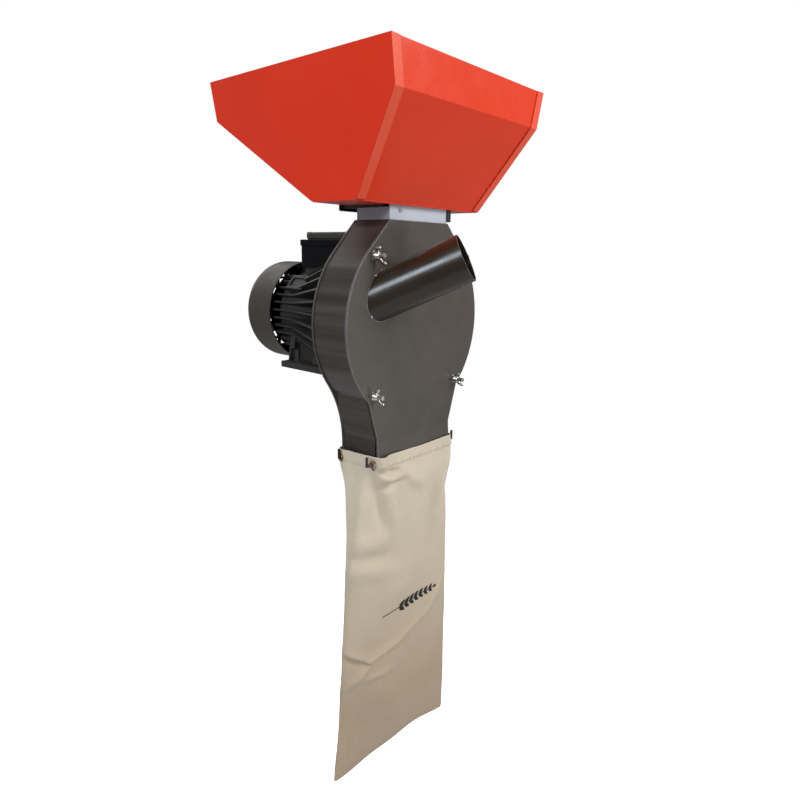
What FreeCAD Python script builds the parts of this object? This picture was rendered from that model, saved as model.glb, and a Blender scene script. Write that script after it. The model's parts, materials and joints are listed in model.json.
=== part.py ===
import FreeCAD, Part
import math
import os

# Electric grain crusher: hopper, slide gate, hammer-mill casing, foot-mounted motor and hanging bag.
# Everything is drawn in millimetres about the shaft: x runs to the right as seen from the front,
# y runs back from the outer face of the front cover, and z runs up from the shaft's centre line.
# export() then moves the origin to the centre of the motor's foot holes, on the feet's underside.

V = FreeCAD.Vector
ORIGIN = V(0, 0, 0)
DIR_X = V(1, 0, 0)
DIR_Y = V(0, 1, 0)
DIR_Z = V(0, 0, 1)

# Motor frame: the standard foot-mounted frame of 80 mm shaft height
SHAFT_HEIGHT = 80.0
FOOT_SPACING_X = 125.0
FOOT_SPACING_Y = 100.0
FOOT_HOLE_R = 5.0
FOOT_CENTRE_Y = 146.0
FOOT_PLATE_LENGTH = 124.0
FOOT_PLATE_HALF_WIDTH = 80.0
FOOT_PLATE_INNER = 42.0
FOOT_PLATE_THICK = 9.0

# Casing
CASING_DEPTH = 66.0
COVER_THICK = 3.0
REAR_THICK = 3.0
BAND_THICK = 2.0
COVER_R = 140.0
BAND_R = 138.5
REAR_R = 140.0
CASING_TOP_Z = 138.3
CASING_TOP_HALF = 61.0
COVER_FOOT_HALF = 80.3
BAND_FOOT_HALF = 84.0
REAR_FOOT_HALF = 85.0
SPOUT_KINK_Z = -157.0
COVER_FOLD_Z = -160.0
COVER_LIP_DROP = 34.0
COVER_LIP_FLARE = 3.0
CASING_BOTTOM_Z = -200.0
REAR_CURVE_Z = -172.0
BAND_Y0 = COVER_THICK
BAND_Y1 = CASING_DEPTH - REAR_THICK
REAR_BORE_R = 40.1

# Cover studs and wing nuts
STUD_X = 90.0
STUD_Z = 92.0
STUD_R = 3.0
STUD_HOLE_R = 3.3
BOSS_R = 6.5
STUD_STAND = 21.0
WASHER_R = 6.4
WASHER_THICK = 1.2
NUT_HUB_R = 6.0
NUT_HUB_LENGTH = 9.0
NUT_BORE_R = 3.05
NUT_SPAN = 27.0
NUT_WING_RISE = 14.5
NUT_WING_THICK = 2.4

# Inclined feed tube for cobs and roots, with its axis given from the cover towards the mouth
TUBE_R = 31.4
TUBE_WALL = 1.5
TUBE_ROOT_X = -66.9
TUBE_ROOT_Z = 43.0
TUBE_LENGTH = 114.4
TUBE_AXIS = V(0.433, -0.795, 0.425)

# Perforated screen round the rotor
SCREEN_R = 119.0
SCREEN_THICK = 1.5
SCREEN_HALF_GAP = 29.0
SCREEN_CLEAR = 0.6
SCREEN_HOLE_R = 3.5
SCREEN_PITCH = 11.0
RAIL_THICK = 2.0
RAIL_HEIGHT = 6.0

# Rotor with four swinging hammers
SHAFT_R = 9.5
SHAFT_TIP_Y = 22.0
HUB_R = 22.0
HUB_Y0 = 18.0
HUB_Y1 = 56.0
HUB_BORE_R = 9.52
DISC_R = 78.0
DISC_THICK = 3.0
DISC_FRONT_Y = 20.0
DISC_REAR_Y = 48.0
PIN_CIRCLE_R = 66.0
PIN_ANGLES = (45, 135, 225, 315)
PIN_R = 4.0
PIN_BORE_R = 4.05
SPACER_R = 8.0
HAMMER_REACH = 46.0
HAMMER_HEEL = 13.0
HAMMER_HALF_WIDTH = 14.0
HAMMER_THICK = 6.0
HAMMER_FRONT_Y = 26.5
HAMMER_REAR_Y = 38.5
HAMMER_SIDE_GAP = 0.3
CLIP_R = 6.5
CLIP_THICK = 1.0
KEY_WIDTH = 6.0

# Motor
BODY_R = 64.0
BODY_BORE_R = 60.0
BODY_Y0 = 84.0
BODY_Y1 = 226.0
FIN_COUNT = 36
FIN_THICK = 2.6
FIN_R_REAR = 71.0
FIN_R_FRONT = 108.0
FIN_BEND_Y = 196.0
FIN_FLARE_Y = 102.0
FIN_TAIL_Y = 237.0
BELL_R = 88.0
BELL_FLAT_Y = 100.0
BELL_END_Y = 150.0
FLANGE_R = 60.0
FLANGE_SPIGOT_R = 40.0
FLANGE_SPIGOT_Y = BAND_Y1 + 0.5
FLANGE_BACK_Y = 73.0
FLANGE_BOLT_HEAD = 3.2
FLANGE_BOLT_END_Y = 71.5
FLANGE_BOLT_CIRCLE_R = 50.0
BEARING_R = 23.5
BEARING_BORE_R = 10.0
BEARING_WIDTH = 14.0
BEARING_FRONT_Y = 70.0
BEARING_REAR_Y = 222.0
JOURNAL_R = 9.97
STATOR_Y0 = 108.0
STATOR_Y1 = 190.0
STATOR_BORE_R = 38.4
ROTOR_CORE_R = 38.0
WINDING_LENGTH = 15.0
TIE_CIRCLE_R = 55.0
TIE_ANGLES = (45, 135, 225, 315)
TIE_SEAT = 4.5
FAN_R = 70.0
FAN_WEB_R = 64.0
FAN_Y = 250.0
FAN_BLADES = 7
FAN_COVER_R = 79.0
FAN_COVER_WALL = 1.5
FAN_COVER_Y0 = 236.0
FAN_COVER_Y1 = 304.0
FAN_COVER_ROUND = 18.0
FAN_SCREW_ANGLES = (-90, 0, 90)
FAN_SCREW_Y = 243.0

# Terminal box
BOX_HALF_X = 48.0
BOX_Y0 = 96.0
BOX_Y1 = 198.0
BOX_Z0 = 73.0
BOX_WALL = 2.5
BOX_LIP_Z = 104.0
BOX_LIP_HEIGHT = 9.0
BOX_LIP_STAND = 1.8
BOX_TOP_Z = 124.0
BOX_MOUTH_INSET = 14.0
BOX_RIM_THICK = 3.0
GASKET_THICK = 2.0
GASKET_INSET = 7.0
LID_INSET = 5.5
LID_HEAD_SUNK = 2.0
GLAND_Y = 170.0
GLAND_Z = 90.0

# Hopper: outside sizes at the rim, at the bend and at the floor
SHEET = 1.5
HOPPER_RIM_Z = 317.5
HOPPER_BEND_Z = 269.5
HOPPER_FLOOR_Z = 158.5
HOPPER_RIM_HALF_X = 158.75
HOPPER_FLOOR_HALF_X = 128.5
HOPPER_RIM_Y = (-84.0, 247.0)
HOPPER_BEND_Y = (-82.0, 248.0)
HOPPER_FLOOR_Y = (-4.0, 74.5)
FLANGE_WIDTH = 15.0

# Neck between the hopper and the casing, with the slide gate
NECK_HALF_X = 60.4
NECK_Y0 = 2.3
NECK_Y1 = 62.0
NECK_SIDE_TOP_Z = 154.0
NECK_WALL = 1.5
FEED_HALF_X = 48.0
FEED_Y0 = 18.0
FEED_Y1 = 52.0
GATE_Z = 155.6
GATE_THICK = 1.5
GATE_HALF_X = 57.0
GATE_Y0 = 10.0
GATE_Y1 = 97.0
GATE_LIP_DROP = 4.6
GATE_LIP_RISE = 5.0
GATE_LIP_ROUND = 2.5
RUNNER_Y0 = 12.5
RUNNER_Y1 = 84.0
RUNNER_X0 = 57.5
RUNNER_X1 = 62.5
RIVET_X = -40.0
RIVET_Z = 151.0
CLIP_BOTTOM_Z = 140.5

# Bag and its hooks
BAG_WALL = 1.6
BAG_TOP_Z = -181.0
BAG_BOTTOM_Z = -705.0
BAG_MOUTH_X = 93.5
BAG_MOUTH_Y = (-6.0, 70.5)
BAG_MOUTH_TRIM = 8.5
BAG_MOUTH_CHAMFER = 2.0
HOOK_R = 2.0
HOOK_OUT = 12.5
HOOK_UP = 13.0
HOOK_Y_FRONT = 4.5
HOOK_Y_REAR = 60.0
EYELET_Z = -191.0
EYELET_R = 6.0
EYELET_HOLE_R = 3.0
EYELET_THICK = 1.0
EYELET_GAP = 0.35

parts_made = {}


def export(name, shape):
    """Move a shape to the row's origin and write it as one STEP file."""
    moved = shape.copy()
    moved.translate(V(0, -FOOT_CENTRE_Y, SHAFT_HEIGHT))
    moved.exportStep("parts/%s.step" % name)
    parts_made[name] = moved


def box(x0, x1, y0, y1, z0, z1):
    """Block between two corners."""
    return Part.makeBox(x1 - x0, y1 - y0, z1 - z0, V(x0, y0, z0))


def rod(radius, start, length, direction=DIR_Y):
    """Solid cylinder."""
    return Part.makeCylinder(radius, length, start, direction)


def ring(outer, inner, start, length, direction=DIR_Y):
    """Solid tube."""
    return rod(outer, start, length, direction).cut(rod(inner, start, length, direction))


def polygon_face(points):
    """Flat face on a closed polygon."""
    return Part.Face(Part.makePolygon(list(points) + [points[0]]))


def prism_y(points, y0, y1):
    """Polygon of (x, z) points, extruded along y."""
    return polygon_face([V(x, y0, z) for x, z in points]).extrude(V(0, y1 - y0, 0))


def prism_x(points, x0, x1):
    """Polygon of (y, z) points, extruded along x."""
    return polygon_face([V(x0, y, z) for y, z in points]).extrude(V(x1 - x0, 0, 0))


def turned(profile):
    """Solid of revolution about the shaft, from (radius, y) points."""
    return polygon_face([V(r, y, 0) for r, y in profile]).revolve(ORIGIN, DIR_Y, 360)


def polar(radius, degrees, y=0.0):
    """Point at a radius and angle about the shaft, with the angle from +x towards +z."""
    angle = math.radians(degrees)
    return V(radius * math.cos(angle), y, radius * math.sin(angle))


def spin(shape, degrees):
    """Copy of a shape turned about the shaft from +x towards +z."""
    turned_shape = shape.copy()
    turned_shape.rotate(ORIGIN, DIR_Y, -degrees)
    return turned_shape


def fuse(shapes):
    """One solid from overlapping shapes."""
    return shapes[0].multiFuse(shapes[1:]).removeSplitter()


def group(shapes):
    """Several separate solids in one node."""
    return Part.makeCompound(shapes)


def corners(x, z):
    """The four mirrored (x, z) places."""
    return [(sx * x, sz * z) for sz in (1, -1) for sx in (-1, 1)]


# ---------------------------------------------------------------- casing

def tangent_point(radius, x, z):
    """Where the straight line from an outside point touches a circle about the shaft, on the +x side."""
    reach = math.hypot(x, z)
    angle = math.atan2(z, x) - math.acos(radius / reach)
    return radius * math.cos(angle), radius * math.sin(angle)


def casing_wire(radius, top_z, top_half, right_side, y=0.0):
    """Closed outline: flat top, straight shoulders, a round body, then the given lower right side."""
    tx, tz = tangent_point(radius, top_half, top_z)
    edges = []

    def line(a, b):
        edges.append(Part.makeLine(V(a[0], y, a[1]), V(b[0], y, b[1])))

    def arc(a, middle, b):
        edges.append(Part.Arc(*[V(p[0], y, p[1]) for p in (a, middle, b)]).toShape())

    line((-top_half, top_z), (top_half, top_z))
    line((top_half, top_z), (tx, tz))
    first = right_side[0]
    arc((tx, tz), (radius, 0), first)
    at = first
    for step in right_side[1:]:
        if len(step) == 4:
            arc(at, step[:2], step[2:])
        else:
            line(at, step)
        at = step[-2:]
    line(at, (-at[0], at[1]))
    for step, before in reversed(list(zip(right_side[1:], right_side[:-1]))):
        start = (-step[-2], step[-1])
        end = (-before[-2], before[-1])
        if len(step) == 4:
            arc(start, (-step[0], step[1]), end)
        else:
            line(start, end)
    arc((-first[0], first[1]), (-radius, 0), (-tx, tz))
    line((-tx, tz), (-top_half, top_z))
    return Part.Wire(edges)


def cover_shape(bottom_z):
    """Cover outline with its small step where the straight spout begins."""
    start = (COVER_R * math.cos(math.radians(-44.5)), COVER_R * math.sin(math.radians(-44.5)))
    side = [start, (start[0] - 2.2, start[1] - 1.2), (COVER_FOOT_HALF, SPOUT_KINK_Z), (COVER_FOOT_HALF, bottom_z)]
    return Part.Face(casing_wire(COVER_R, CASING_TOP_Z, CASING_TOP_HALF, side))


def band_face(inset, bottom_z):
    """Band outline, moved in by an inset."""
    radius = BAND_R - inset
    start = (radius * math.cos(math.radians(-43.5)), radius * math.sin(math.radians(-43.5)))
    foot = BAND_FOOT_HALF - inset
    side = [start, (foot, SPOUT_KINK_Z + 2), (foot, bottom_z)]
    top_half = CASING_TOP_HALF - inset * math.tan(math.radians(22.5))
    return Part.Face(casing_wire(radius, CASING_TOP_Z - inset, top_half, side, BAND_Y0))


def rear_face():
    """Rear plate outline, running into the spout in one smooth hollow curve."""
    foot = REAR_FOOT_HALF
    drop = REAR_CURVE_Z
    blend = (foot * foot + drop * drop - REAR_R * REAR_R) / (2 * (REAR_R - foot))
    centre_x = foot + blend
    reach = math.hypot(centre_x, drop)
    start = (REAR_R * centre_x / reach, REAR_R * drop / reach)
    angle_start = math.atan2(start[1] - drop, start[0] - centre_x)
    angle_middle = (angle_start + math.pi) / 2
    middle = (centre_x + blend * math.cos(angle_middle), drop + blend * math.sin(angle_middle))
    side = [start, middle + (foot, drop), (foot, CASING_BOTTOM_Z)]
    return Part.Face(casing_wire(REAR_R, CASING_TOP_Z, CASING_TOP_HALF, side, BAND_Y1))


def tube_end_radius(radius):
    """Endless cylinder along the feed tube, for cutting its hole."""
    start = V(TUBE_ROOT_X, 0, TUBE_ROOT_Z) - TUBE_AXIS * 90
    return rod(radius, start, TUBE_LENGTH + 90, TUBE_AXIS)


def front_cover():
    plate = cover_shape(COVER_FOLD_Z).extrude(V(0, COVER_THICK, 0))
    lip_bottom = COVER_FOLD_Z - COVER_LIP_DROP
    lip = prism_x([(0, COVER_FOLD_Z), (COVER_THICK, COVER_FOLD_Z),
                   (COVER_THICK - COVER_LIP_FLARE, lip_bottom), (-COVER_LIP_FLARE, lip_bottom)],
                  -COVER_FOOT_HALF, COVER_FOOT_HALF)
    plate = fuse([plate, lip])
    plate = plate.cut(tube_end_radius(TUBE_R))
    for x, z in corners(STUD_X, STUD_Z):
        plate = plate.cut(rod(STUD_HOLE_R, V(x, -1, z), COVER_THICK + 2))
    return plate


def feed_tube():
    outer = tube_end_radius(TUBE_R)
    inner = tube_end_radius(TUBE_R - TUBE_WALL)
    front_of_cover = box(-250, 250, -250, COVER_THICK, -100, 250)
    return outer.cut(inner).common(front_of_cover)


def casing_band():
    depth = V(0, BAND_Y1 - BAND_Y0, 0)
    outer = band_face(0, CASING_BOTTOM_Z).extrude(depth)
    inner = band_face(BAND_THICK, CASING_BOTTOM_Z - 5).extrude(depth)
    opening = box(-NECK_HALF_X + 3, NECK_HALF_X - 3, 6, 56, CASING_TOP_Z - 10, CASING_TOP_Z + 10)
    return outer.cut(inner).cut(opening)


def rear_plate():
    plate = rear_face().extrude(V(0, REAR_THICK, 0))
    plate = plate.cut(rod(REAR_BORE_R, V(0, BAND_Y1 - 1, 0), REAR_THICK + 2))
    for x, z in flange_bolt_places():
        plate = plate.cut(rod(3.3, V(x, BAND_Y1 - 1, z), REAR_THICK + 2))
    return plate


def flange_bolt_places():
    """Four bolts on the motor flange's bolt circle, at 45 degrees."""
    return corners(FLANGE_BOLT_CIRCLE_R * math.sqrt(0.5), FLANGE_BOLT_CIRCLE_R * math.sqrt(0.5))


def flange_bolts():
    bolts = []
    for x, z in flange_bolt_places():
        under = V(x, BAND_Y1 - FLANGE_BOLT_HEAD, z)
        head = rod(5.0, under, FLANGE_BOLT_HEAD)
        bolts.append(fuse([head, rod(3.0, under, FLANGE_BOLT_END_Y - under.y)]))
    return group(bolts)


def stud_bosses():
    bosses = []
    for x, z in corners(STUD_X, STUD_Z):
        bosses.append(ring(BOSS_R, STUD_R + 0.02, V(x, COVER_THICK, z), BAND_Y1 - BAND_Y0))
    return group(bosses)


def cover_studs():
    studs = []
    for x, z in corners(STUD_X, STUD_Z):
        studs.append(rod(STUD_R, V(x, COVER_THICK - STUD_STAND, z), STUD_STAND + 30))
    return group(studs)


def cover_washers():
    washers = []
    for x, z in corners(STUD_X, STUD_Z):
        washers.append(ring(WASHER_R, STUD_HOLE_R, V(x, -WASHER_THICK, z), WASHER_THICK))
    return group(washers)


def wing_nut(x, z, turn):
    """Wing nut on a stud: a hub with two swept wings, turned about the stud."""
    back = -WASHER_THICK
    hub = Part.makeCone(NUT_HUB_R, NUT_HUB_R - 1.2, NUT_HUB_LENGTH, V(0, back, 0), V(0, -1, 0))
    half = NUT_SPAN / 2
    outline = [(3.5, back - 1.0), (NUT_HUB_R + 0.5, back - 1.0), (half, back - 8.0), (half, back - NUT_WING_RISE),
               (half - 3.5, back - NUT_WING_RISE), (4.2, back - NUT_HUB_LENGTH + 0.8)]
    wings = []
    for side in (1, -1):
        face = polygon_face([V(side * r, y, -NUT_WING_THICK / 2) for r, y in outline])
        wings.append(face.extrude(V(0, 0, NUT_WING_THICK)))
    nut = fuse([hub] + wings).cut(rod(NUT_BORE_R, V(0, back - 30, 0), 40))
    nut = spin(nut, turn)
    nut.translate(V(x, 0, z))
    return nut


# ---------------------------------------------------------------- screen

def ring_sector(outer, inner, y0, y1, half_gap):
    """Part of a ring about the shaft, open at the top over an angle of twice half_gap degrees."""
    reach = outer * 3
    edge = math.radians(half_gap)
    wedge = prism_y([(0, 0), (-reach * math.sin(edge), reach * math.cos(edge)),
                     (reach * math.sin(edge), reach * math.cos(edge))], y0 - 1, y1 + 1)
    return ring(outer, inner, V(0, y0, 0), y1 - y0).cut(wedge)


def screen():
    y0 = COVER_THICK + SCREEN_CLEAR
    y1 = BAND_Y1 - SCREEN_CLEAR
    sheet = ring_sector(SCREEN_R, SCREEN_R - SCREEN_THICK, y0, y1, SCREEN_HALF_GAP)
    step = math.degrees(SCREEN_PITCH / SCREEN_R)
    span = 360 - 2 * SCREEN_HALF_GAP - 2 * step
    columns = int(span / step)
    punches = []
    for column in range(columns + 1):
        angle = 90 + SCREEN_HALF_GAP + step + column * span / columns
        row_shift = SCREEN_PITCH / 2 if column % 2 else 0.0
        for row in range(4):
            y = y0 + 8.0 + row_shift + row * SCREEN_PITCH
            if y < y1 - 6:
                start = polar(SCREEN_R - 5, angle, y)
                punches.append(rod(SCREEN_HOLE_R, start, 8, polar(1, angle)))
    return sheet.cut(Part.makeCompound(punches))


def screen_rails():
    outer = SCREEN_R + SCREEN_CLEAR / 2 + RAIL_THICK
    inner = SCREEN_R + SCREEN_CLEAR / 2
    return group([
        ring_sector(outer, inner, COVER_THICK, COVER_THICK + RAIL_HEIGHT, SCREEN_HALF_GAP),
        ring_sector(outer, inner, BAND_Y1 - RAIL_HEIGHT, BAND_Y1, SCREEN_HALF_GAP),
    ])


# ---------------------------------------------------------------- rotor

def rotor_hub():
    hub = ring(HUB_R, HUB_BORE_R, V(0, HUB_Y0, 0), HUB_Y1 - HUB_Y0)
    keyway = box(-KEY_WIDTH / 2 - 0.02, KEY_WIDTH / 2 + 0.02, HUB_Y0 - 1, HUB_Y1 + 1, 0, SHAFT_R + 2.8)
    return hub.cut(keyway)


def rotor_disc(y):
    disc = ring(DISC_R, HUB_R, V(0, y, 0), DISC_THICK)
    for angle in PIN_ANGLES:
        disc = disc.cut(rod(PIN_R + 0.02, polar(PIN_CIRCLE_R, angle, y - 1), DISC_THICK + 2))
    return disc


def hammer_pins():
    y0 = DISC_FRONT_Y - 2.5
    y1 = DISC_REAR_Y + DISC_THICK + 2.5
    return group([rod(PIN_R, polar(PIN_CIRCLE_R, angle, y0), y1 - y0) for angle in PIN_ANGLES])


def pin_clips():
    clips = []
    for angle in PIN_ANGLES:
        for y in (DISC_FRONT_Y - CLIP_THICK, DISC_REAR_Y + DISC_THICK):
            clips.append(ring(CLIP_R, PIN_R, polar(PIN_CIRCLE_R, angle, y), CLIP_THICK))
    return group(clips)


def hammer_y(index):
    """Front face of a hammer: neighbours are staggered."""
    return HAMMER_FRONT_Y if index % 2 == 0 else HAMMER_REAR_Y


def hammer_spacers():
    spacers = []
    inner_front = DISC_FRONT_Y + DISC_THICK
    for index, angle in enumerate(PIN_ANGLES):
        y = hammer_y(index)
        front = y - HAMMER_SIDE_GAP - inner_front
        rear = DISC_REAR_Y - (y + HAMMER_THICK + HAMMER_SIDE_GAP)
        spacers.append(ring(SPACER_R, PIN_R, polar(PIN_CIRCLE_R, angle, inner_front), front))
        spacers.append(ring(SPACER_R, PIN_R, polar(PIN_CIRCLE_R, angle, DISC_REAR_Y - rear), rear))
    return group(spacers)


def hammer(index):
    """Swinging hammer, hanging straight down from its pin."""
    centre = polar(PIN_CIRCLE_R, PIN_ANGLES[index], hammer_y(index))
    bar = box(-HAMMER_HALF_WIDTH, HAMMER_HALF_WIDTH, 0, HAMMER_THICK, -HAMMER_REACH, 0)
    heel = rod(HAMMER_HALF_WIDTH, ORIGIN, HAMMER_THICK)
    heel = heel.common(box(-HAMMER_HALF_WIDTH, HAMMER_HALF_WIDTH, 0, HAMMER_THICK, 0, HAMMER_HEEL))
    plate = fuse([bar, heel]).cut(rod(PIN_BORE_R, V(0, -1, 0), HAMMER_THICK + 2))
    plate.translate(centre)
    return plate


def rotor_key():
    return box(-KEY_WIDTH / 2, KEY_WIDTH / 2, SHAFT_TIP_Y + 2, HUB_Y1, SHAFT_R - 3.5, SHAFT_R + 2.5)


def rotor_washer():
    return ring(15.0, 4.3, V(0, HUB_Y0 - 2.5, 0), 2.5)


def rotor_bolt():
    head = prism_y([(6.5 * math.cos(math.radians(60 * k)), 6.5 * math.sin(math.radians(60 * k)))
                    for k in range(6)], HUB_Y0 - 2.5 - 5.3, HUB_Y0 - 2.5)
    return fuse([head, rod(4.0, V(0, HUB_Y0 - 2.5, 0), 24)])


# ---------------------------------------------------------------- motor

def motor_shaft():
    shaft = turned([(0, SHAFT_TIP_Y), (SHAFT_R - 1, SHAFT_TIP_Y), (SHAFT_R, SHAFT_TIP_Y + 1),
                    (SHAFT_R, 62.0), (JOURNAL_R, 62.0), (JOURNAL_R, BEARING_FRONT_Y + BEARING_WIDTH),
                    (12.5, BEARING_FRONT_Y + BEARING_WIDTH), (12.5, BEARING_REAR_Y),
                    (JOURNAL_R, BEARING_REAR_Y), (JOURNAL_R, 240.0), (7.5, 240.0), (7.5, 272.0), (0, 272.0)])
    keyway = box(-KEY_WIDTH / 2, KEY_WIDTH / 2, SHAFT_TIP_Y + 2, HUB_Y1, SHAFT_R - 3.5, SHAFT_R + 5)
    tapped_end = rod(4.0, V(0, SHAFT_TIP_Y - 1, 0), 21)
    return shaft.cut(keyway).cut(tapped_end)


def rotor_core():
    stack = ring(ROTOR_CORE_R, 12.5, V(0, STATOR_Y0, 0), STATOR_Y1 - STATOR_Y0)
    front_ring = ring(ROTOR_CORE_R - 1, 24, V(0, STATOR_Y0 - 8, 0), 8)
    rear_ring = ring(ROTOR_CORE_R - 1, 24, V(0, STATOR_Y1, 0), 8)
    return fuse([stack, front_ring, rear_ring])


def stator_core():
    stack = ring(BODY_BORE_R, STATOR_BORE_R, V(0, STATOR_Y0, 0), STATOR_Y1 - STATOR_Y0)
    slot = box(STATOR_BORE_R + 2, STATOR_BORE_R + 12, STATOR_Y0 - 1, STATOR_Y1 + 1, -2.2, 2.2)
    return stack.cut(group([spin(slot, 15 * k) for k in range(24)]))


def stator_windings():
    coils = []
    for y0, y1 in ((STATOR_Y0 - WINDING_LENGTH, STATOR_Y0), (STATOR_Y1, STATOR_Y1 + WINDING_LENGTH)):
        coils.append(ring(BODY_BORE_R - 4, STATOR_BORE_R + 2, V(0, y0, 0), y1 - y0))
    return group(coils)


def bearing(y):
    """Ball bearing as its two rings with the balls between them."""
    outer = ring(BEARING_R, 19.5, V(0, y, 0), BEARING_WIDTH)
    inner = ring(14.0, BEARING_BORE_R, V(0, y, 0), BEARING_WIDTH)
    groove = Part.makeTorus(16.75, 3.95, V(0, y + BEARING_WIDTH / 2, 0), DIR_Y)
    balls = [Part.makeSphere(3.9, polar(16.75, 45 * k, y + BEARING_WIDTH / 2)) for k in range(8)]
    return group([outer.cut(groove), inner.cut(groove)] + balls)


def fin_shape():
    """One fin along the body: low at the rear, rising towards the front."""
    outline = [(BODY_R - 2, BODY_Y0 + 2), (FIN_R_FRONT, BODY_Y0 + 2), (FIN_R_FRONT, FIN_FLARE_Y),
               (FIN_R_REAR, FIN_BEND_Y), (FIN_R_REAR, FIN_TAIL_Y), (BODY_R + 1.5, FIN_TAIL_Y),
               (BODY_R - 2, BODY_Y1 - 2)]
    face = polygon_face([V(r, y, -FIN_THICK / 2) for r, y in outline])
    return face.extrude(V(0, 0, FIN_THICK))


def foot_side(side):
    """One foot: the plate with two holes, a web up to the body and cross gussets."""
    y0 = FOOT_CENTRE_Y - FOOT_PLATE_LENGTH / 2
    y1 = FOOT_CENTRE_Y + FOOT_PLATE_LENGTH / 2
    top = -SHAFT_HEIGHT + FOOT_PLATE_THICK
    x_in = FOOT_PLATE_INNER
    x_out = FOOT_PLATE_HALF_WIDTH
    plate = box(x_in, x_out, y0, y1, -SHAFT_HEIGHT, top)
    web = box(x_in, x_in + 8, y0, y1, top - 1, -45)
    shapes = [plate, web]
    for y in (y0, FOOT_CENTRE_Y - 5, y1 - 10):
        shapes.append(prism_y([(x_in + 2, top - 1), (x_out - 14, top - 1), (58, -27), (x_in + 2, -44)], y, y + 10))
    if side < 0:
        shapes = [shape.mirror(ORIGIN, DIR_X) for shape in shapes]
    return shapes


def motor_housing():
    body = ring(BODY_R, BODY_BORE_R, V(0, BODY_Y0, 0), BODY_Y1 - BODY_Y0)
    bell = turned([(BODY_BORE_R, BODY_Y0), (BELL_R, BODY_Y0), (BELL_R, BELL_FLAT_Y), (BODY_R, BELL_END_Y),
                   (BODY_BORE_R, BELL_END_Y)])
    bell = bell.cut(box(-BOX_HALF_X - 3, BOX_HALF_X + 3, BOX_Y0 - 3, BOX_Y1, BOX_Z0, BOX_TOP_Z))
    above_feet = box(-150, 150, 0, 300, FOOT_PLATE_THICK - SHAFT_HEIGHT, 150)
    shapes = [body, bell.common(above_feet)]
    step = 360.0 / FIN_COUNT
    for k in range(FIN_COUNT):
        angle = step * (k + 0.5)
        over_box = 55 < angle < 125
        if not over_box:
            shapes.append(spin(fin_shape(), angle).common(above_feet))
    box_pad = box(-BOX_HALF_X + 8, BOX_HALF_X - 8, BOX_Y0 + 4, BOX_Y1 - 4, 45, BOX_Z0)
    plate_pad = spin(box(BODY_R - 6, FIN_R_REAR + 3.5, 176, 214, -13, 13), 138)
    recess = spin(box(FIN_R_REAR + 1.5, FIN_R_REAR + 19, 180, 210, -8, 8), 138)
    shapes += [box_pad, plate_pad]
    shapes += foot_side(1) + foot_side(-1)
    casting = shapes[0].multiFuse(shapes[1:])
    casting = casting.cut(rod(BODY_BORE_R, V(0, BODY_Y0 - 5, 0), FIN_TAIL_Y - BODY_Y0 + 20))
    casting = casting.cut(recess)
    casting = casting.cut(rod(8.0, V(0, 150, 50), 40, DIR_Z))
    for x, z in corners(FOOT_SPACING_X / 2, 0)[:2]:
        for y in (FOOT_CENTRE_Y - FOOT_SPACING_Y / 2, FOOT_CENTRE_Y + FOOT_SPACING_Y / 2):
            casting = casting.cut(rod(FOOT_HOLE_R, V(x, y, -SHAFT_HEIGHT - 1), FOOT_PLATE_THICK + 2, DIR_Z))
            casting = casting.cut(rod(FOOT_HOLE_R + 4, V(x, y, -SHAFT_HEIGHT + FOOT_PLATE_THICK), 18, DIR_Z))
    return casting


def front_shield():
    shield = turned([(10.4, FLANGE_SPIGOT_Y), (FLANGE_SPIGOT_R, FLANGE_SPIGOT_Y),
                     (FLANGE_SPIGOT_R, CASING_DEPTH), (FLANGE_R, CASING_DEPTH), (FLANGE_R, FLANGE_BACK_Y),
                     (70.0, 79.0), (70.0, BODY_Y0),
                     (BODY_BORE_R - 0.05, BODY_Y0), (BODY_BORE_R - 0.05, BODY_Y0 + 4), (54.0, BODY_Y0 + 4),
                     (54.0, 78.0), (30.0, 74.0), (30.0, BEARING_FRONT_Y + BEARING_WIDTH + 2),
                     (BEARING_R, BEARING_FRONT_Y + BEARING_WIDTH + 2), (BEARING_R, BEARING_FRONT_Y),
                     (10.4, BEARING_FRONT_Y)])
    for x, z in flange_bolt_places():
        bolt_hole = rod(3.0, V(x, FLANGE_SPIGOT_Y - 1, z), FLANGE_BOLT_END_Y + 1.1 - FLANGE_SPIGOT_Y)
        shield = shield.cut(bolt_hole)
    return shield


def rear_shield():
    shield = turned([(BEARING_R, BEARING_REAR_Y - 2), (30.0, BEARING_REAR_Y - 2), (30.0, BODY_Y1 - 3.5),
                   (BODY_BORE_R - 0.05, BODY_Y1 - 3.5), (BODY_BORE_R - 0.05, BODY_Y1), (62.0, BODY_Y1),
                   (62.0, BODY_Y1 + 5), (32.0, BODY_Y1 + 8), (28.0, BEARING_REAR_Y + BEARING_WIDTH + 3),
                   (10.4, BEARING_REAR_Y + BEARING_WIDTH + 3), (10.4, BEARING_REAR_Y + BEARING_WIDTH),
                   (BEARING_R, BEARING_REAR_Y + BEARING_WIDTH)])
    for angle in TIE_ANGLES:
        shield = shield.cut(rod(2.25, polar(TIE_CIRCLE_R, angle, BODY_Y1 - 5), 20))
        shield = shield.cut(rod(5.0, polar(TIE_CIRCLE_R, angle, BODY_Y1 + TIE_SEAT), 20))
    for angle in FAN_SCREW_ANGLES:
        shield = shield.fuse(fan_cover_lug(angle))
        shield = shield.cut(rod(2.0, polar(62, angle, FAN_SCREW_Y), 20, polar(1, angle)))
    return shield


def tie_bolts():
    """Long bolts that draw both shields onto the body."""
    bolts = []
    for angle in TIE_ANGLES:
        head = rod(4.5, polar(TIE_CIRCLE_R, angle, BODY_Y1 + TIE_SEAT), 4.0)
        shank = rod(2.2, polar(TIE_CIRCLE_R, angle, BODY_Y1 - 3.5), 10.0)
        bolts.append(fuse([head, shank]))
    return group(bolts)


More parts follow.
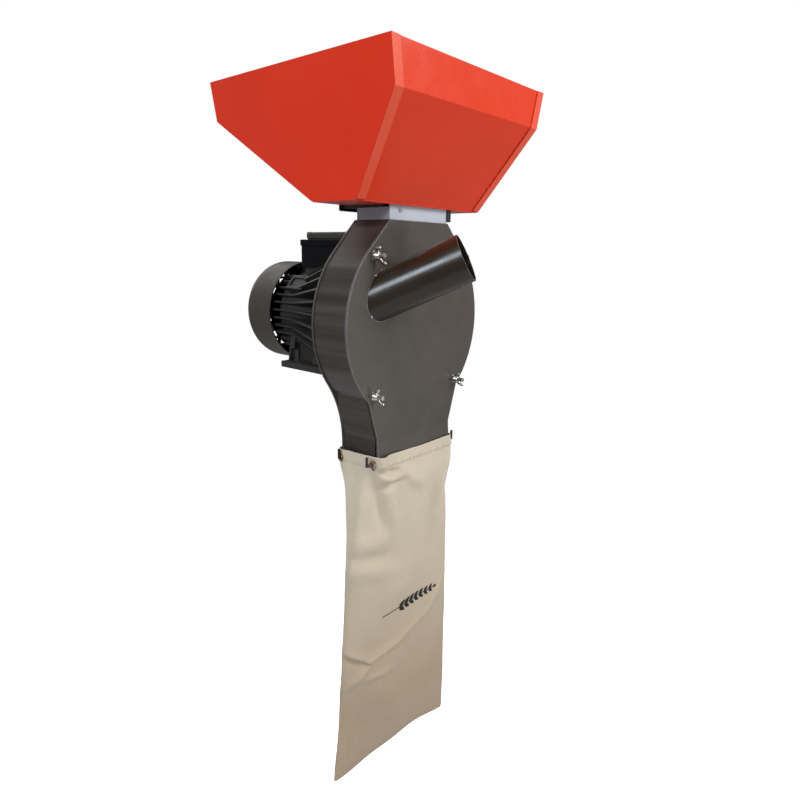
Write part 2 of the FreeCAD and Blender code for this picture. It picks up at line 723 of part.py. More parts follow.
def cooling_fan():
    hub = ring(16.0, 7.5, V(0, FAN_Y - 2, 0), 20)
    web = ring(FAN_WEB_R, 15.0, V(0, FAN_Y, 0), 3)
    shapes = [hub, web]
    for k in range(FAN_BLADES):
        shapes.append(spin(box(14.0, FAN_R, FAN_Y, FAN_Y + 18, -1.25, 1.25), 360.0 * k / FAN_BLADES))
    fan = shapes[0].multiFuse(shapes[1:])
    return fan.cut(rod(7.5, V(0, FAN_Y - 10, 0), 60))


def fan_cover():
    r = FAN_COVER_R
    w = FAN_COVER_WALL
    y1 = FAN_COVER_Y1
    bend = FAN_COVER_ROUND
    mid = bend * (1 - math.sqrt(0.5))
    mid_in = mid + w * math.sqrt(0.5)
    outer = [Part.makeLine(V(r - w, FAN_COVER_Y0, 0), V(r, FAN_COVER_Y0, 0)),
             Part.makeLine(V(r, FAN_COVER_Y0, 0), V(r, y1 - bend, 0)),
             Part.Arc(V(r, y1 - bend, 0), V(r - mid, y1 - mid, 0), V(r - bend, y1, 0)).toShape(),
             Part.makeLine(V(r - bend, y1, 0), V(0, y1, 0)),
             Part.makeLine(V(0, y1, 0), V(0, y1 - w, 0)),
             Part.makeLine(V(0, y1 - w, 0), V(r - bend, y1 - w, 0)),
             Part.Arc(V(r - bend, y1 - w, 0), V(r - mid_in, y1 - mid_in, 0), V(r - w, y1 - bend, 0)).toShape(),
             Part.makeLine(V(r - w, y1 - bend, 0), V(r - w, FAN_COVER_Y0, 0))]
    shell = Part.Face(Part.Wire(outer)).revolve(ORIGIN, DIR_Y, 360)
    slots = []
    for radius, count in ((22, 8), (34, 12), (46, 16), (57, 20)):
        for k in range(count):
            slot = box(radius - 3.6, radius + 3.6, y1 - 6, y1 + 2, -5.5, 5.5)
            slots.append(spin(slot, 360.0 * k / count))
    shell = shell.cut(Part.makeCompound(slots))
    for angle in FAN_SCREW_ANGLES:
        shell = shell.cut(rod(2.1, polar(r - 6, angle, FAN_SCREW_Y), 12, polar(1, angle)))
    return shell


def fan_cover_lug(angle):
    """Lug from the rear shield's face to the inside of the fan cover, tapped for its screw."""
    foot = spin(box(48.0, 61.0, BODY_Y1 + 2, FAN_SCREW_Y + 5, -5, 5), angle)
    arm = spin(box(55.0, FAN_COVER_R - FAN_COVER_WALL - 0.2, FAN_SCREW_Y - 5, FAN_SCREW_Y + 5, -5, 5), angle)
    return foot.fuse(arm)


def fan_cover_screws():
    screws = []
    for angle in FAN_SCREW_ANGLES:
        head = rod(4.0, polar(FAN_COVER_R + 0.02, angle, FAN_SCREW_Y), 2.4, polar(1, angle))
        shank = rod(2.0, polar(65.0, angle, FAN_SCREW_Y), FAN_COVER_R - 64.5, polar(1, angle))
        screws.append(fuse([head, shank]))
    return group(screws)


# ---------------------------------------------------------------- terminal box

def rounded_block(x_half, y0, y1, z0, z1, radius):
    """Block with its four upright edges rounded."""
    block = box(-x_half, x_half, y0, y1, z0, z1)
    upright = [e for e in block.Edges if abs(e.tangentAt(e.FirstParameter).z) > 0.99]
    return block.makeFillet(radius, upright)


def terminal_box():
    outer = rounded_block(BOX_HALF_X, BOX_Y0, BOX_Y1, BOX_Z0, BOX_LIP_Z, 7)
    lip_top = BOX_LIP_Z + BOX_LIP_HEIGHT
    stand = BOX_LIP_STAND
    lip = rounded_block(BOX_HALF_X + stand, BOX_Y0 - stand, BOX_Y1 + stand, BOX_LIP_Z, lip_top, 9)
    rims = [e for e in lip.Edges if abs(e.BoundBox.ZMax - e.BoundBox.ZMin) < 0.01]
    lip = lip.makeFillet(1.2, rims)
    inner = rounded_block(BOX_HALF_X - BOX_WALL, BOX_Y0 + BOX_WALL, BOX_Y1 - BOX_WALL,
                          BOX_Z0 + BOX_WALL, lip_top - BOX_RIM_THICK, 5)
    mouth = rounded_block(BOX_HALF_X - BOX_MOUTH_INSET, BOX_Y0 + BOX_MOUTH_INSET, BOX_Y1 - BOX_MOUTH_INSET,
                          lip_top - BOX_RIM_THICK - 1, BOX_TOP_Z, 3)
    wire_hole = rod(7.0, V(0, 150, BOX_Z0 - 1), 10, DIR_Z)
    gland_hole = rod(8.05, V(BOX_HALF_X - 6, GLAND_Y, GLAND_Z), 12, DIR_X)
    return fuse([outer, lip]).cut(inner).cut(mouth).cut(wire_hole).cut(gland_hole)


def terminal_gasket():
    z0 = BOX_LIP_Z + BOX_LIP_HEIGHT
    top = z0 + GASKET_THICK
    outer = rounded_block(BOX_HALF_X - GASKET_INSET, BOX_Y0 + GASKET_INSET, BOX_Y1 - GASKET_INSET, z0, top, 6)
    inner = rounded_block(BOX_HALF_X - BOX_MOUTH_INSET, BOX_Y0 + BOX_MOUTH_INSET, BOX_Y1 - BOX_MOUTH_INSET,
                          z0 - 1, top + 1, 3)
    return outer.cut(inner)


def terminal_lid():
    z0 = BOX_LIP_Z + BOX_LIP_HEIGHT + GASKET_THICK
    lid = rounded_block(BOX_HALF_X - LID_INSET, BOX_Y0 + LID_INSET, BOX_Y1 - LID_INSET, z0, BOX_TOP_Z, 8)
    top_edges = [e for e in lid.Edges if e.BoundBox.ZMin > BOX_TOP_Z - 0.01]
    lid = lid.makeFillet(4.0, top_edges)
    hollow = rounded_block(BOX_HALF_X - BOX_MOUTH_INSET, BOX_Y0 + BOX_MOUTH_INSET, BOX_Y1 - BOX_MOUTH_INSET,
                           z0 - 1, BOX_TOP_Z - 2.5, 3)
    lid = lid.cut(hollow)
    for x, y in lid_screw_places():
        lid = lid.cut(rod(2.2, V(x, y, z0 - 1), 30, DIR_Z))
        lid = lid.cut(rod(3.8, V(x, y, BOX_TOP_Z - LID_HEAD_SUNK), 10, DIR_Z))
    return lid


def lid_screw_places():
    inset = LID_INSET + 5.2
    return [(sx * (BOX_HALF_X - inset), y) for sx in (-1, 1) for y in (BOX_Y0 + inset, BOX_Y1 - inset)]


def lid_screws():
    screws = []
    for x, y in lid_screw_places():
        head = rod(3.6, V(x, y, BOX_TOP_Z - LID_HEAD_SUNK), 2.4, DIR_Z)
        z0 = BOX_LIP_Z + BOX_LIP_HEIGHT + GASKET_THICK
        shank = rod(2.0, V(x, y, z0), BOX_TOP_Z - z0, DIR_Z)
        screws.append(fuse([head, shank]))
    return group(screws)


def run_capacitor():
    return rod(15.0, V(-24, BOX_Y0 + 8, BOX_Z0 + BOX_WALL + 15.2), 80)


def terminal_block():
    block = box(6, 30, 118, 158, BOX_Z0 + BOX_WALL, BOX_Z0 + BOX_WALL + 10)
    posts = [rod(2.0, V(x, y, BOX_Z0 + BOX_WALL), 17, DIR_Z) for x in (12, 24) for y in (126, 138, 150)]
    return fuse([block] + posts)


def cable_gland():
    """Hollow gland in the right wall of the terminal box, where the supply lead enters."""
    body = rod(8.0, V(BOX_HALF_X - 8, GLAND_Y, GLAND_Z), 12, DIR_X)
    collar = rod(11.0, V(BOX_HALF_X + 0.1, GLAND_Y, GLAND_Z), 6, DIR_X)
    dome = Part.makeCone(10.0, 7.5, 11, V(BOX_HALF_X + 6, GLAND_Y, GLAND_Z), DIR_X)
    bore = rod(4.5, V(BOX_HALF_X - 20, GLAND_Y, GLAND_Z), 60, DIR_X)
    return fuse([body, collar, dome]).cut(bore)


# ---------------------------------------------------------------- hopper

def hopper_side_x(z):
    """Outside half width of the flat, leaning side panels at a height."""
    share = (z - HOPPER_FLOOR_Z) / (HOPPER_RIM_Z - HOPPER_FLOOR_Z)
    return HOPPER_FLOOR_HALF_X + share * (HOPPER_RIM_HALF_X - HOPPER_FLOOR_HALF_X)


def side_normal(side):
    """Inward normal of a side panel."""
    rise = HOPPER_RIM_Z - HOPPER_FLOOR_Z
    spread = HOPPER_RIM_HALF_X - HOPPER_FLOOR_HALF_X
    normal = V(-side * rise, 0, spread)
    normal.normalize()
    return normal


def sheet_on(points, direction, thickness):
    """Flat sheet on a polygon, thickened along a direction."""
    shift = V(direction).multiply(thickness)
    return polygon_face(points).extrude(shift)


def hopper_levels():
    """Height, front y and rear y of the hopper's outside at the floor, the bend and the rim."""
    return ((HOPPER_FLOOR_Z,) + HOPPER_FLOOR_Y, (HOPPER_BEND_Z,) + HOPPER_BEND_Y, (HOPPER_RIM_Z,) + HOPPER_RIM_Y)


def hopper_side(side):
    """Flat side sheet, as deep as the outsides of its own folded flanges."""
    front = [V(side * hopper_side_x(z), y0 - SHEET, z) for z, y0, y1 in hopper_levels()]
    rear = [V(side * hopper_side_x(z), y1 + SHEET, z) for z, y0, y1 in hopper_levels()]
    return sheet_on(front + rear[::-1], side_normal(side), SHEET)


def bent_panel(end, sign):
    """Front or rear panel: an upper band and a slanted lower part, between the side panels."""
    side_cut = SHEET * 1.03 + 0.02
    wall = [(level[1 + end], level[0]) for level in hopper_levels()]
    pitch = (HOPPER_BEND_Y[end] - HOPPER_FLOOR_Y[end]) / (HOPPER_BEND_Z - HOPPER_FLOOR_Z)
    inward = SHEET * math.sqrt(1 + pitch * pitch)
    inner = [(wall[2][0] - sign * SHEET, wall[2][1]), (wall[1][0] - sign * SHEET, wall[1][1] + SHEET * 0.55),
             (wall[0][0] - sign * inward, wall[0][1])]
    blank = prism_x(wall + inner, -HOPPER_RIM_HALF_X - 5, HOPPER_RIM_HALF_X + 5)
    lower = hopper_side_x(HOPPER_FLOOR_Z) - side_cut
    upper = hopper_side_x(HOPPER_RIM_Z) - side_cut
    between = prism_y([(-lower, HOPPER_FLOOR_Z), (lower, HOPPER_FLOOR_Z), (upper, HOPPER_RIM_Z),
                       (-upper, HOPPER_RIM_Z)], -200, 400)
    return blank.common(between)


def hopper_flanges(side):
    """The side panel's edges, folded over the outside of the front and rear panels."""
    strips = []
    for end, sign in ((0, -1), (1, 1)):
        wall = [(HOPPER_FLOOR_Y[end], HOPPER_FLOOR_Z), (HOPPER_BEND_Y[end], HOPPER_BEND_Z),
                (HOPPER_RIM_Y[end], HOPPER_RIM_Z)]
        pitch = (HOPPER_BEND_Y[end] - HOPPER_FLOOR_Y[end]) / (HOPPER_BEND_Z - HOPPER_FLOOR_Z)
        outward = SHEET * math.sqrt(1 + pitch * pitch)
        outer = [(wall[2][0] + sign * SHEET, wall[2][1]), (wall[1][0] + sign * SHEET, wall[1][1] - SHEET * 0.55),
                 (wall[0][0] + sign * outward, wall[0][1])]
        blank = prism_x(wall + outer, -HOPPER_RIM_HALF_X - 5, HOPPER_RIM_HALF_X + 5)
        lower = hopper_side_x(HOPPER_FLOOR_Z)
        upper = hopper_side_x(HOPPER_RIM_Z)
        window = prism_y([(side * lower, HOPPER_FLOOR_Z), (side * upper, HOPPER_RIM_Z),
                          (side * (upper - FLANGE_WIDTH), HOPPER_RIM_Z),
                          (side * (lower - FLANGE_WIDTH), HOPPER_FLOOR_Z)], -200, 400)
        strips.append(blank.common(window))
    return strips


def hopper_side_panel(side):
    return fuse([hopper_side(side)] + hopper_flanges(side))


def hopper_floor():
    plate = box(-HOPPER_FLOOR_HALF_X, HOPPER_FLOOR_HALF_X, HOPPER_FLOOR_Y[0], HOPPER_FLOOR_Y[1],
                HOPPER_FLOOR_Z - SHEET, HOPPER_FLOOR_Z)
    feed = box(-FEED_HALF_X, FEED_HALF_X, FEED_Y0, FEED_Y1, HOPPER_FLOOR_Z - 5, HOPPER_FLOOR_Z + 5)
    plate = plate.cut(feed)
    for x, y in floor_screw_places():
        plate = plate.cut(rod(2.2, V(x, y, HOPPER_FLOOR_Z - 5), 10, DIR_Z))
    return plate


def floor_screw_places():
    """Screws that hold the gate's runners under the hopper floor."""
    return [(sx * (RUNNER_X0 + RUNNER_X1) / 2, y) for sx in (-1, 1) for y in (RUNNER_Y0 + 6, RUNNER_Y1 - 16)]


# ---------------------------------------------------------------- neck and gate

def neck_collar():
    """Rectangular neck with low sides and rear, so that the gate can slide over them."""
    tube = box(-NECK_HALF_X, NECK_HALF_X, NECK_Y0, NECK_Y1, CASING_TOP_Z, NECK_SIDE_TOP_Z)
    tube = tube.cut(box(-NECK_HALF_X + NECK_WALL, NECK_HALF_X - NECK_WALL, NECK_Y0 + NECK_WALL,
                        NECK_Y1 - NECK_WALL, CASING_TOP_Z - 1, NECK_SIDE_TOP_Z + 1))
    front_top = HOPPER_FLOOR_Z - SHEET
    front = box(-NECK_HALF_X, NECK_HALF_X, NECK_Y0, NECK_Y0 + NECK_WALL, CASING_TOP_Z, front_top)
    turned_in = box(-NECK_HALF_X + NECK_WALL, NECK_HALF_X - NECK_WALL, NECK_Y0 + NECK_WALL, NECK_Y0 + 7,
                    CASING_TOP_Z, CASING_TOP_Z + NECK_WALL)
    collar = fuse([tube, front])
    collar = fuse([collar, turned_in.cut(box(-56, 56, 6, 10, CASING_TOP_Z - 1, CASING_TOP_Z + 3))])
    return collar.cut(rod(1.6, V(RIVET_X, NECK_Y0 - 1, RIVET_Z), 4))


def collar_rivet():
    head = rod(3.0, V(RIVET_X, NECK_Y0 - 0.9, RIVET_Z), 0.9)
    shank = rod(1.6, V(RIVET_X, NECK_Y0 - 0.9, RIVET_Z), 3.4)
    return fuse([head, shank])


def hopper_clip():
    """Small block on the neck's right side, by its front corner, under the hopper floor."""
    top = HOPPER_FLOOR_Z - SHEET
    block = box(NECK_HALF_X, NECK_HALF_X + 8.4, 0, 8, CLIP_BOTTOM_Z, top)
    return block.makeFillet(1.5, [e for e in block.Edges if abs(e.tangentAt(e.FirstParameter).z) > 0.99
                                  and e.BoundBox.XMax > NECK_HALF_X + 5])


def gate_runners():
    """Two angle strips under the hopper floor that carry the gate's edges."""
    runners = []
    bottom = GATE_Z - 0.3
    for side in (-1, 1):
        upright = box(RUNNER_X0, RUNNER_X1, RUNNER_Y0, RUNNER_Y1, bottom - 1.3, HOPPER_FLOOR_Z - SHEET)
        shelf = box(RUNNER_X0 - 5, RUNNER_X0, RUNNER_Y0, RUNNER_Y1, bottom - 1.3, bottom)
        strip = fuse([upright, shelf])
        strip = strip if side > 0 else strip.mirror(ORIGIN, DIR_X)
        runners.append(strip)
    runners = group(runners)
    for x, y in floor_screw_places():
        runners = runners.cut(rod(1.8, V(x, y, bottom - 5), 12, DIR_Z))
    return runners


def runner_screws():
    screws = []
    for x, y in floor_screw_places():
        head = rod(3.4, V(x, y, HOPPER_FLOOR_Z), 2.0, DIR_Z)
        screws.append(fuse([head, rod(1.8, V(x, y, GATE_Z - 1.6), HOPPER_FLOOR_Z - GATE_Z + 1.6, DIR_Z)]))
    return group(screws)


def slide_gate():
    plate = box(-GATE_HALF_X, GATE_HALF_X, GATE_Y0, GATE_Y1, GATE_Z, GATE_Z + GATE_THICK - 0.4)
    lip = box(-GATE_HALF_X - 4, GATE_HALF_X + 4, GATE_Y1 - 2, GATE_Y1,
              GATE_Z - GATE_LIP_DROP, GATE_Z + GATE_LIP_RISE)
    lip = lip.makeFillet(GATE_LIP_ROUND, [e for e in lip.Edges if abs(e.tangentAt(e.FirstParameter).y) > 0.99])
    return fuse([plate, lip])


# ---------------------------------------------------------------- bag

def bag_levels():
    """Levels of the hanging bag from mouth to foot.

    Each is height, centre (x, y), half sizes, twist in degrees, how much narrower the front is
    than the rear on each side, and the corner chamfer.
    """
    mouth_y = (BAG_MOUTH_Y[0] + BAG_MOUTH_Y[1]) / 2
    mouth_half_y = (BAG_MOUTH_Y[1] - BAG_MOUTH_Y[0]) / 2
    trim = BAG_MOUTH_TRIM
    chamfer = BAG_MOUTH_CHAMFER
    return [(BAG_TOP_Z, 0.0, mouth_y, BAG_MOUTH_X, mouth_half_y, 0.0, trim, chamfer),
            (-215.0, 0.0, mouth_y, BAG_MOUTH_X + 1, mouth_half_y - 0.5, 0.0, trim, chamfer),
            (-300.0, 2.0, 29.0, 106.0, 24.0, -2.0, 2.0, 11.0),
            (-450.0, 3.0, 29.0, 113.0, 18.0, -4.0, 0.0, 10.0),
            (-620.0, 1.0, 30.0, 118.0, 14.0, -5.0, 0.0, 8.0),
            (BAG_BOTTOM_Z, -5.0, 30.0, 119.0, 5.0, -5.0, 0.0, 3.0)]


def bag_section(level, inset):
    """Eight-sided section of the bag at one level."""
    z, cx, cy, half_x, half_y, twist, trim, chamfer = level
    hx = half_x - inset
    hy = half_y - inset
    fx = hx - trim
    points = [(hx, hy - chamfer), (hx - chamfer, hy), (-hx + chamfer, hy), (-hx, hy - chamfer),
              (-fx, -hy + chamfer), (-fx + chamfer, -hy), (fx - chamfer, -hy), (fx, -hy + chamfer)]
    angle = math.radians(twist)
    turned_points = [V(cx + x * math.cos(angle) - y * math.sin(angle),
                       cy + x * math.sin(angle) + y * math.cos(angle), z) for x, y in points]
    return Part.makePolygon(turned_points + [turned_points[0]])


def bag():
    levels = bag_levels()
    outer = Part.makeLoft([bag_section(level, 0) for level in levels], True, True)
    lifted = (BAG_TOP_Z + 5,) + levels[0][1:]
    floor = (BAG_BOTTOM_Z + 3,) + levels[-1][1:]
    inner_levels = [lifted] + levels[1:-1] + [floor]
    inner = Part.makeLoft([bag_section(level, BAG_WALL) for level in inner_levels], True, True)
    shell = outer.cut(inner)
    for side, y in hook_places():
        shell = shell.cut(rod(EYELET_HOLE_R, V(side * 70, y, EYELET_Z), 50, V(side, 0, 0)))
    return shell


def hook_places():
    """Hooks on the spout's sides: (side, y) in the order left front, right front, left rear, right rear."""
    return [(side, y) for y in (HOOK_Y_FRONT, HOOK_Y_REAR) for side in (-1, 1)]


def bag_hooks():
    """Bent rods welded to the spout's sides: out through the eyelet, then turned up."""
    hooks = []
    for side, y in hook_places():
        foot = V(side * BAND_FOOT_HALF, y, EYELET_Z)
        bend = V(side * (BAND_FOOT_HALF + HOOK_OUT), y, EYELET_Z)
        out = rod(HOOK_R, foot, HOOK_OUT, V(side, 0, 0))
        up = rod(HOOK_R, bend, HOOK_UP, DIR_Z)
        hooks.append(fuse([out, Part.makeSphere(HOOK_R, bend), up]))
    return group(hooks)


def bag_eyelets():
    """Eyelets on the outside of the bag's side walls, round the hook holes."""
    eyelets = []
    share = (BAG_TOP_Z - EYELET_Z) / (BAG_TOP_Z + 215.0)
    rear_x = BAG_MOUTH_X + share
    slope = BAG_MOUTH_TRIM / (BAG_MOUTH_Y[1] - BAG_MOUTH_Y[0] - 2 * BAG_MOUTH_CHAMFER)
    for side, y in hook_places():
        wall_x = rear_x - slope * (BAG_MOUTH_Y[1] - BAG_MOUTH_CHAMFER - y)
        outward = V(side, -slope, 0)
        start = V(side * wall_x, y, EYELET_Z) + outward * EYELET_GAP
        eyelets.append(ring(EYELET_R, EYELET_HOLE_R, start, EYELET_THICK, outward))
    return group(eyelets)


# ---------------------------------------------------------------- build

def build():
    export("hopper_side_left", hopper_side_panel(-1))
    export("hopper_side_right", hopper_side_panel(1))
    export("hopper_front", bent_panel(0, -1))
    export("hopper_rear", bent_panel(1, 1))
    export("hopper_floor", hopper_floor())
    export("neck_collar", neck_collar())
    export("collar_rivet", collar_rivet())
    export("hopper_clip", hopper_clip())
    export("gate_runners", gate_runners())
    export("runner_screws", runner_screws())
    export("slide_gate", slide_gate())

    export("casing_rear_plate", rear_plate())
    export("casing_band", casing_band())
    export("front_cover", front_cover())
    export("feed_tube", feed_tube())
    export("stud_bosses", stud_bosses())
    export("cover_studs", cover_studs())
    export("cover_washers", cover_washers())
    turns = (-62, -35, -66, -58)
    for number, ((x, z), turn) in enumerate(zip(corners(STUD_X, STUD_Z), turns), 1):
        export("wing_nut_%d" % number, wing_nut(x, z, turn))

    export("screen", screen())
    export("screen_rails", screen_rails())
    export("rotor_hub", rotor_hub())
    export("rotor_disc_front", rotor_disc(DISC_FRONT_Y))
    export("rotor_disc_rear", rotor_disc(DISC_REAR_Y))
    export("hammer_pins", hammer_pins())
    export("pin_clips", pin_clips())
    export("hammer_spacers", hammer_spacers())
    for index in range(len(PIN_ANGLES)):
        export("hammer_%d" % (index + 1), hammer(index))
    export("rotor_key", rotor_key())
    export("rotor_washer", rotor_washer())
    export("rotor_bolt", rotor_bolt())

    export("motor_shaft", motor_shaft())
    export("rotor_core", rotor_core())
    export("stator_core", stator_core())
    export("stator_windings", stator_windings())
    export("bearings", group([bearing(y) for y in (BEARING_FRONT_Y, BEARING_REAR_Y)]))
    export("motor_housing", motor_housing())
    export("front_shield", front_shield())
    export("flange_bolts", flange_bolts())
    export("rear_shield", rear_shield())
    export("tie_bolts", tie_bolts())
    export("cooling_fan", cooling_fan())
    export("fan_cover", fan_cover())
    export("fan_cover_screws", fan_cover_screws())
    export("terminal_box", terminal_box())
    export("terminal_gasket", terminal_gasket())
    export("terminal_lid", terminal_lid())
    export("lid_screws", lid_screws())
    export("run_capacitor", run_capacitor())
    export("terminal_block", terminal_block())
    export("cable_gland", cable_gland())

    export("bag_hooks", bag_hooks())
    export("bag", bag())
    export("bag_eyelets", bag_eyelets())


def report():
    """Print each node's number of solids and whether they are valid."""
    for name, shape in parts_made.items():
        state = "ok" if shape.isValid() else "NOT VALID"
        print("%-20s solids %2d volume %10.0f %s" % (name, len(shape.Solids), shape.Volume, state))
    print("%d nodes" % len(parts_made))


os.makedirs("parts", exist_ok=True)
build()
report()
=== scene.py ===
import json
import math

import bmesh
import bpy
import numpy as np
from mathutils import Matrix, Vector


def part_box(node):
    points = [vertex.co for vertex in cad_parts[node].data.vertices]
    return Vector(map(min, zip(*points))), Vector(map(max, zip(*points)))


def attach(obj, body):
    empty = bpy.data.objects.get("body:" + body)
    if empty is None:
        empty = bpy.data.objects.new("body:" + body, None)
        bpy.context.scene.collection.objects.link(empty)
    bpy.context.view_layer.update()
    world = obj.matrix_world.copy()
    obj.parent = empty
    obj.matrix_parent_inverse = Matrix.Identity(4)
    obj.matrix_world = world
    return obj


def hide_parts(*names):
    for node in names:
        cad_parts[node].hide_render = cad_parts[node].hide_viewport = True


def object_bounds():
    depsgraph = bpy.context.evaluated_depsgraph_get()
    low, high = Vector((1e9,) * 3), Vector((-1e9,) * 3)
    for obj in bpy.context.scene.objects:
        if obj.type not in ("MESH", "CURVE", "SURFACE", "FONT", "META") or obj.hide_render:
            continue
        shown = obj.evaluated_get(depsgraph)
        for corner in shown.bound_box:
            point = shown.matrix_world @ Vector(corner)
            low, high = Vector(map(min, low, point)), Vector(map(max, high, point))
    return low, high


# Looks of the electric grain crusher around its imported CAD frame. Units are metres.
# The CAD is drawn in millimetres about the shaft, with y running back from the cover's outer face;
# at() brings such a point into the row frame, whose origin is the centre of the motor's foot holes.

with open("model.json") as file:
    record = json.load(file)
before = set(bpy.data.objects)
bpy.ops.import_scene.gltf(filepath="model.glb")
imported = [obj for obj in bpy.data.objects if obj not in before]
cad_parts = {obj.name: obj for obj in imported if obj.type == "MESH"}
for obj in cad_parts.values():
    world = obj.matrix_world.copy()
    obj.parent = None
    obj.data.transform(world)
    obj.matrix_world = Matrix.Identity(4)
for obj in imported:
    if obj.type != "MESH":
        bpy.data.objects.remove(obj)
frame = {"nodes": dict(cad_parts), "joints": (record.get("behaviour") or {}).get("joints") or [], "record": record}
nodes = frame["nodes"]
cad_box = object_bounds()

FOOT_CENTRE_Y = 146.0
SHAFT_HEIGHT = 80.0


def at(x, y, z):
    return Vector((x, y - FOOT_CENTRE_Y, z + SHAFT_HEIGHT)) / 1000.0


# ---------------------------------------------------------------- camera

# Place in metres, angles in degrees, lens and sensor in millimetres
CAMERA_PLACE = (-0.68344, -0.71029, 0.1754)
CAMERA_YAW = 48.96
CAMERA_PITCH = -13.19
CAMERA_ROLL = 1.18
CAMERA_LENS = 28.14
CAMERA_SENSOR = 36.0
CAMERA_CLIP = (0.02, 60.0)


def make_camera():
    yaw, pitch, roll = (math.radians(a) for a in (CAMERA_YAW, CAMERA_PITCH, CAMERA_ROLL))
    ahead = Vector((math.sin(yaw) * math.cos(pitch), math.cos(yaw) * math.cos(pitch), math.sin(pitch)))
    level = Vector((math.cos(yaw), -math.sin(yaw), 0.0))
    above = level.cross(ahead)
    right = level * math.cos(roll) + above * math.sin(roll)
    up = above * math.cos(roll) - level * math.sin(roll)
    data = bpy.data.cameras.new("camera")
    data.lens = CAMERA_LENS
    data.sensor_width = CAMERA_SENSOR
    data.clip_start, data.clip_end = CAMERA_CLIP
    camera = bpy.data.objects.new("camera", data)
    camera.matrix_world = Matrix.Translation(CAMERA_PLACE) @ Matrix((right, up, -ahead)).transposed().to_4x4()
    bpy.context.scene.collection.objects.link(camera)
    bpy.context.scene.camera = camera


make_camera()


# ---------------------------------------------------------------- node helpers

BEVEL_SAMPLES = 4


class Shader:
    """A Principled material with short calls for the nodes that these materials use."""

    def __init__(self, name, colour, rough, metallic=0.0, specular=0.5):
        self.material = bpy.data.materials.new(name)
        self.material.use_nodes = True
        self.tree = self.material.node_tree
        self.shader = self.tree.nodes["Principled BSDF"]
        self.set(self.shader, "Base Color", (*colour, 1.0))
        self.set(self.shader, "Roughness", rough)
        self.set(self.shader, "Metallic", metallic)
        self.set(self.shader, "Specular IOR Level", specular)
        self.place = self.node("ShaderNodeTexCoord").outputs["Object"]

    def node(self, kind, **values):
        made = self.tree.nodes.new(kind)
        for key, value in values.items():
            setattr(made, key, value)
        return made

    def set(self, node, socket, value):
        if isinstance(value, bpy.types.NodeSocket):
            self.tree.links.new(value, node.inputs[socket])
        else:
            node.inputs[socket].default_value = value

    def scaled(self, scale):
        made = self.node("ShaderNodeMapping")
        self.set(made, "Vector", self.place)
        self.set(made, "Scale", scale)
        return made.outputs["Vector"]

    def noise(self, scale, detail, vector=None):
        made = self.node("ShaderNodeTexNoise")
        self.set(made, "Vector", vector or self.place)
        self.set(made, "Scale", scale)
        self.set(made, "Detail", detail)
        return made.outputs["Fac"]

    def ramp(self, value, low, high, to_low=0.0, to_high=1.0):
        made = self.node("ShaderNodeMapRange")
        for socket, number in (("Value", value), ("From Min", low), ("From Max", high),
                               ("To Min", to_low), ("To Max", to_high)):
            self.set(made, socket, number)
        return made.outputs["Result"]

    def math(self, operation, first, second=0.0):
        made = self.node("ShaderNodeMath", operation=operation)
        self.set(made, 0, first)
        self.set(made, 1, second)
        return made.outputs[0]

    def mix(self, share, first, second):
        made = self.node("ShaderNodeMix", data_type="RGBA")
        self.set(made, "Factor", share)
        self.set(made, 6, first if isinstance(first, bpy.types.NodeSocket) else (*first, 1.0))
        self.set(made, 7, second if isinstance(second, bpy.types.NodeSocket) else (*second, 1.0))
        return made.outputs[2]

    def axis(self, index, source=None):
        made = self.node("ShaderNodeSeparateXYZ")
        self.set(made, 0, source or self.place)
        return made.outputs[index]

    def bump(self, height, distance, strength=1.0, under=None):
        made = self.node("ShaderNodeBump")
        self.set(made, "Height", height)
        self.set(made, "Distance", distance)
        self.set(made, "Strength", strength)
        if under is not None:
            self.set(made, "Normal", under)
        return made.outputs["Normal"]

    def round_edges(self, radius):
        made = self.node("ShaderNodeBevel", samples=BEVEL_SAMPLES)
        self.set(made, "Radius", radius)
        return made.outputs["Normal"]

    def colour(self, value):
        self.set(self.shader, "Base Color", value)

    def rough(self, value):
        self.set(self.shader, "Roughness", value)

    def normal(self, value):
        self.set(self.shader, "Normal", value)


# Edge mask for worn edges and for the painted edge highlight
EDGE_MASK_BEND = (0.02, 0.16)
EDGE_MASK_REACH = 1.5
COAT_ROUGH = 0.12


def edge_wear_and_highlight(made, radius, patches=True):
    """How far a point lies on an edge: where the rounded normal leaves the face's own, broken by patches. With
    patches it marks worn edges; without them it is the mask of a painted edge highlight.
    """
    rounded = made.round_edges(radius)
    flat = made.node("ShaderNodeNewGeometry").outputs["Normal"]
    apart = made.node("ShaderNodeVectorMath", operation="DOT_PRODUCT")
    made.set(apart, 0, rounded)
    made.set(apart, 1, flat)
    bend = made.ramp(made.math("SUBTRACT", 1.0, apart.outputs["Value"]), *EDGE_MASK_BEND)
    if not patches:
        return bend
    return made.math("MULTIPLY", bend, made.ramp(made.noise(90.0, 4.0), 0.42, 0.66))


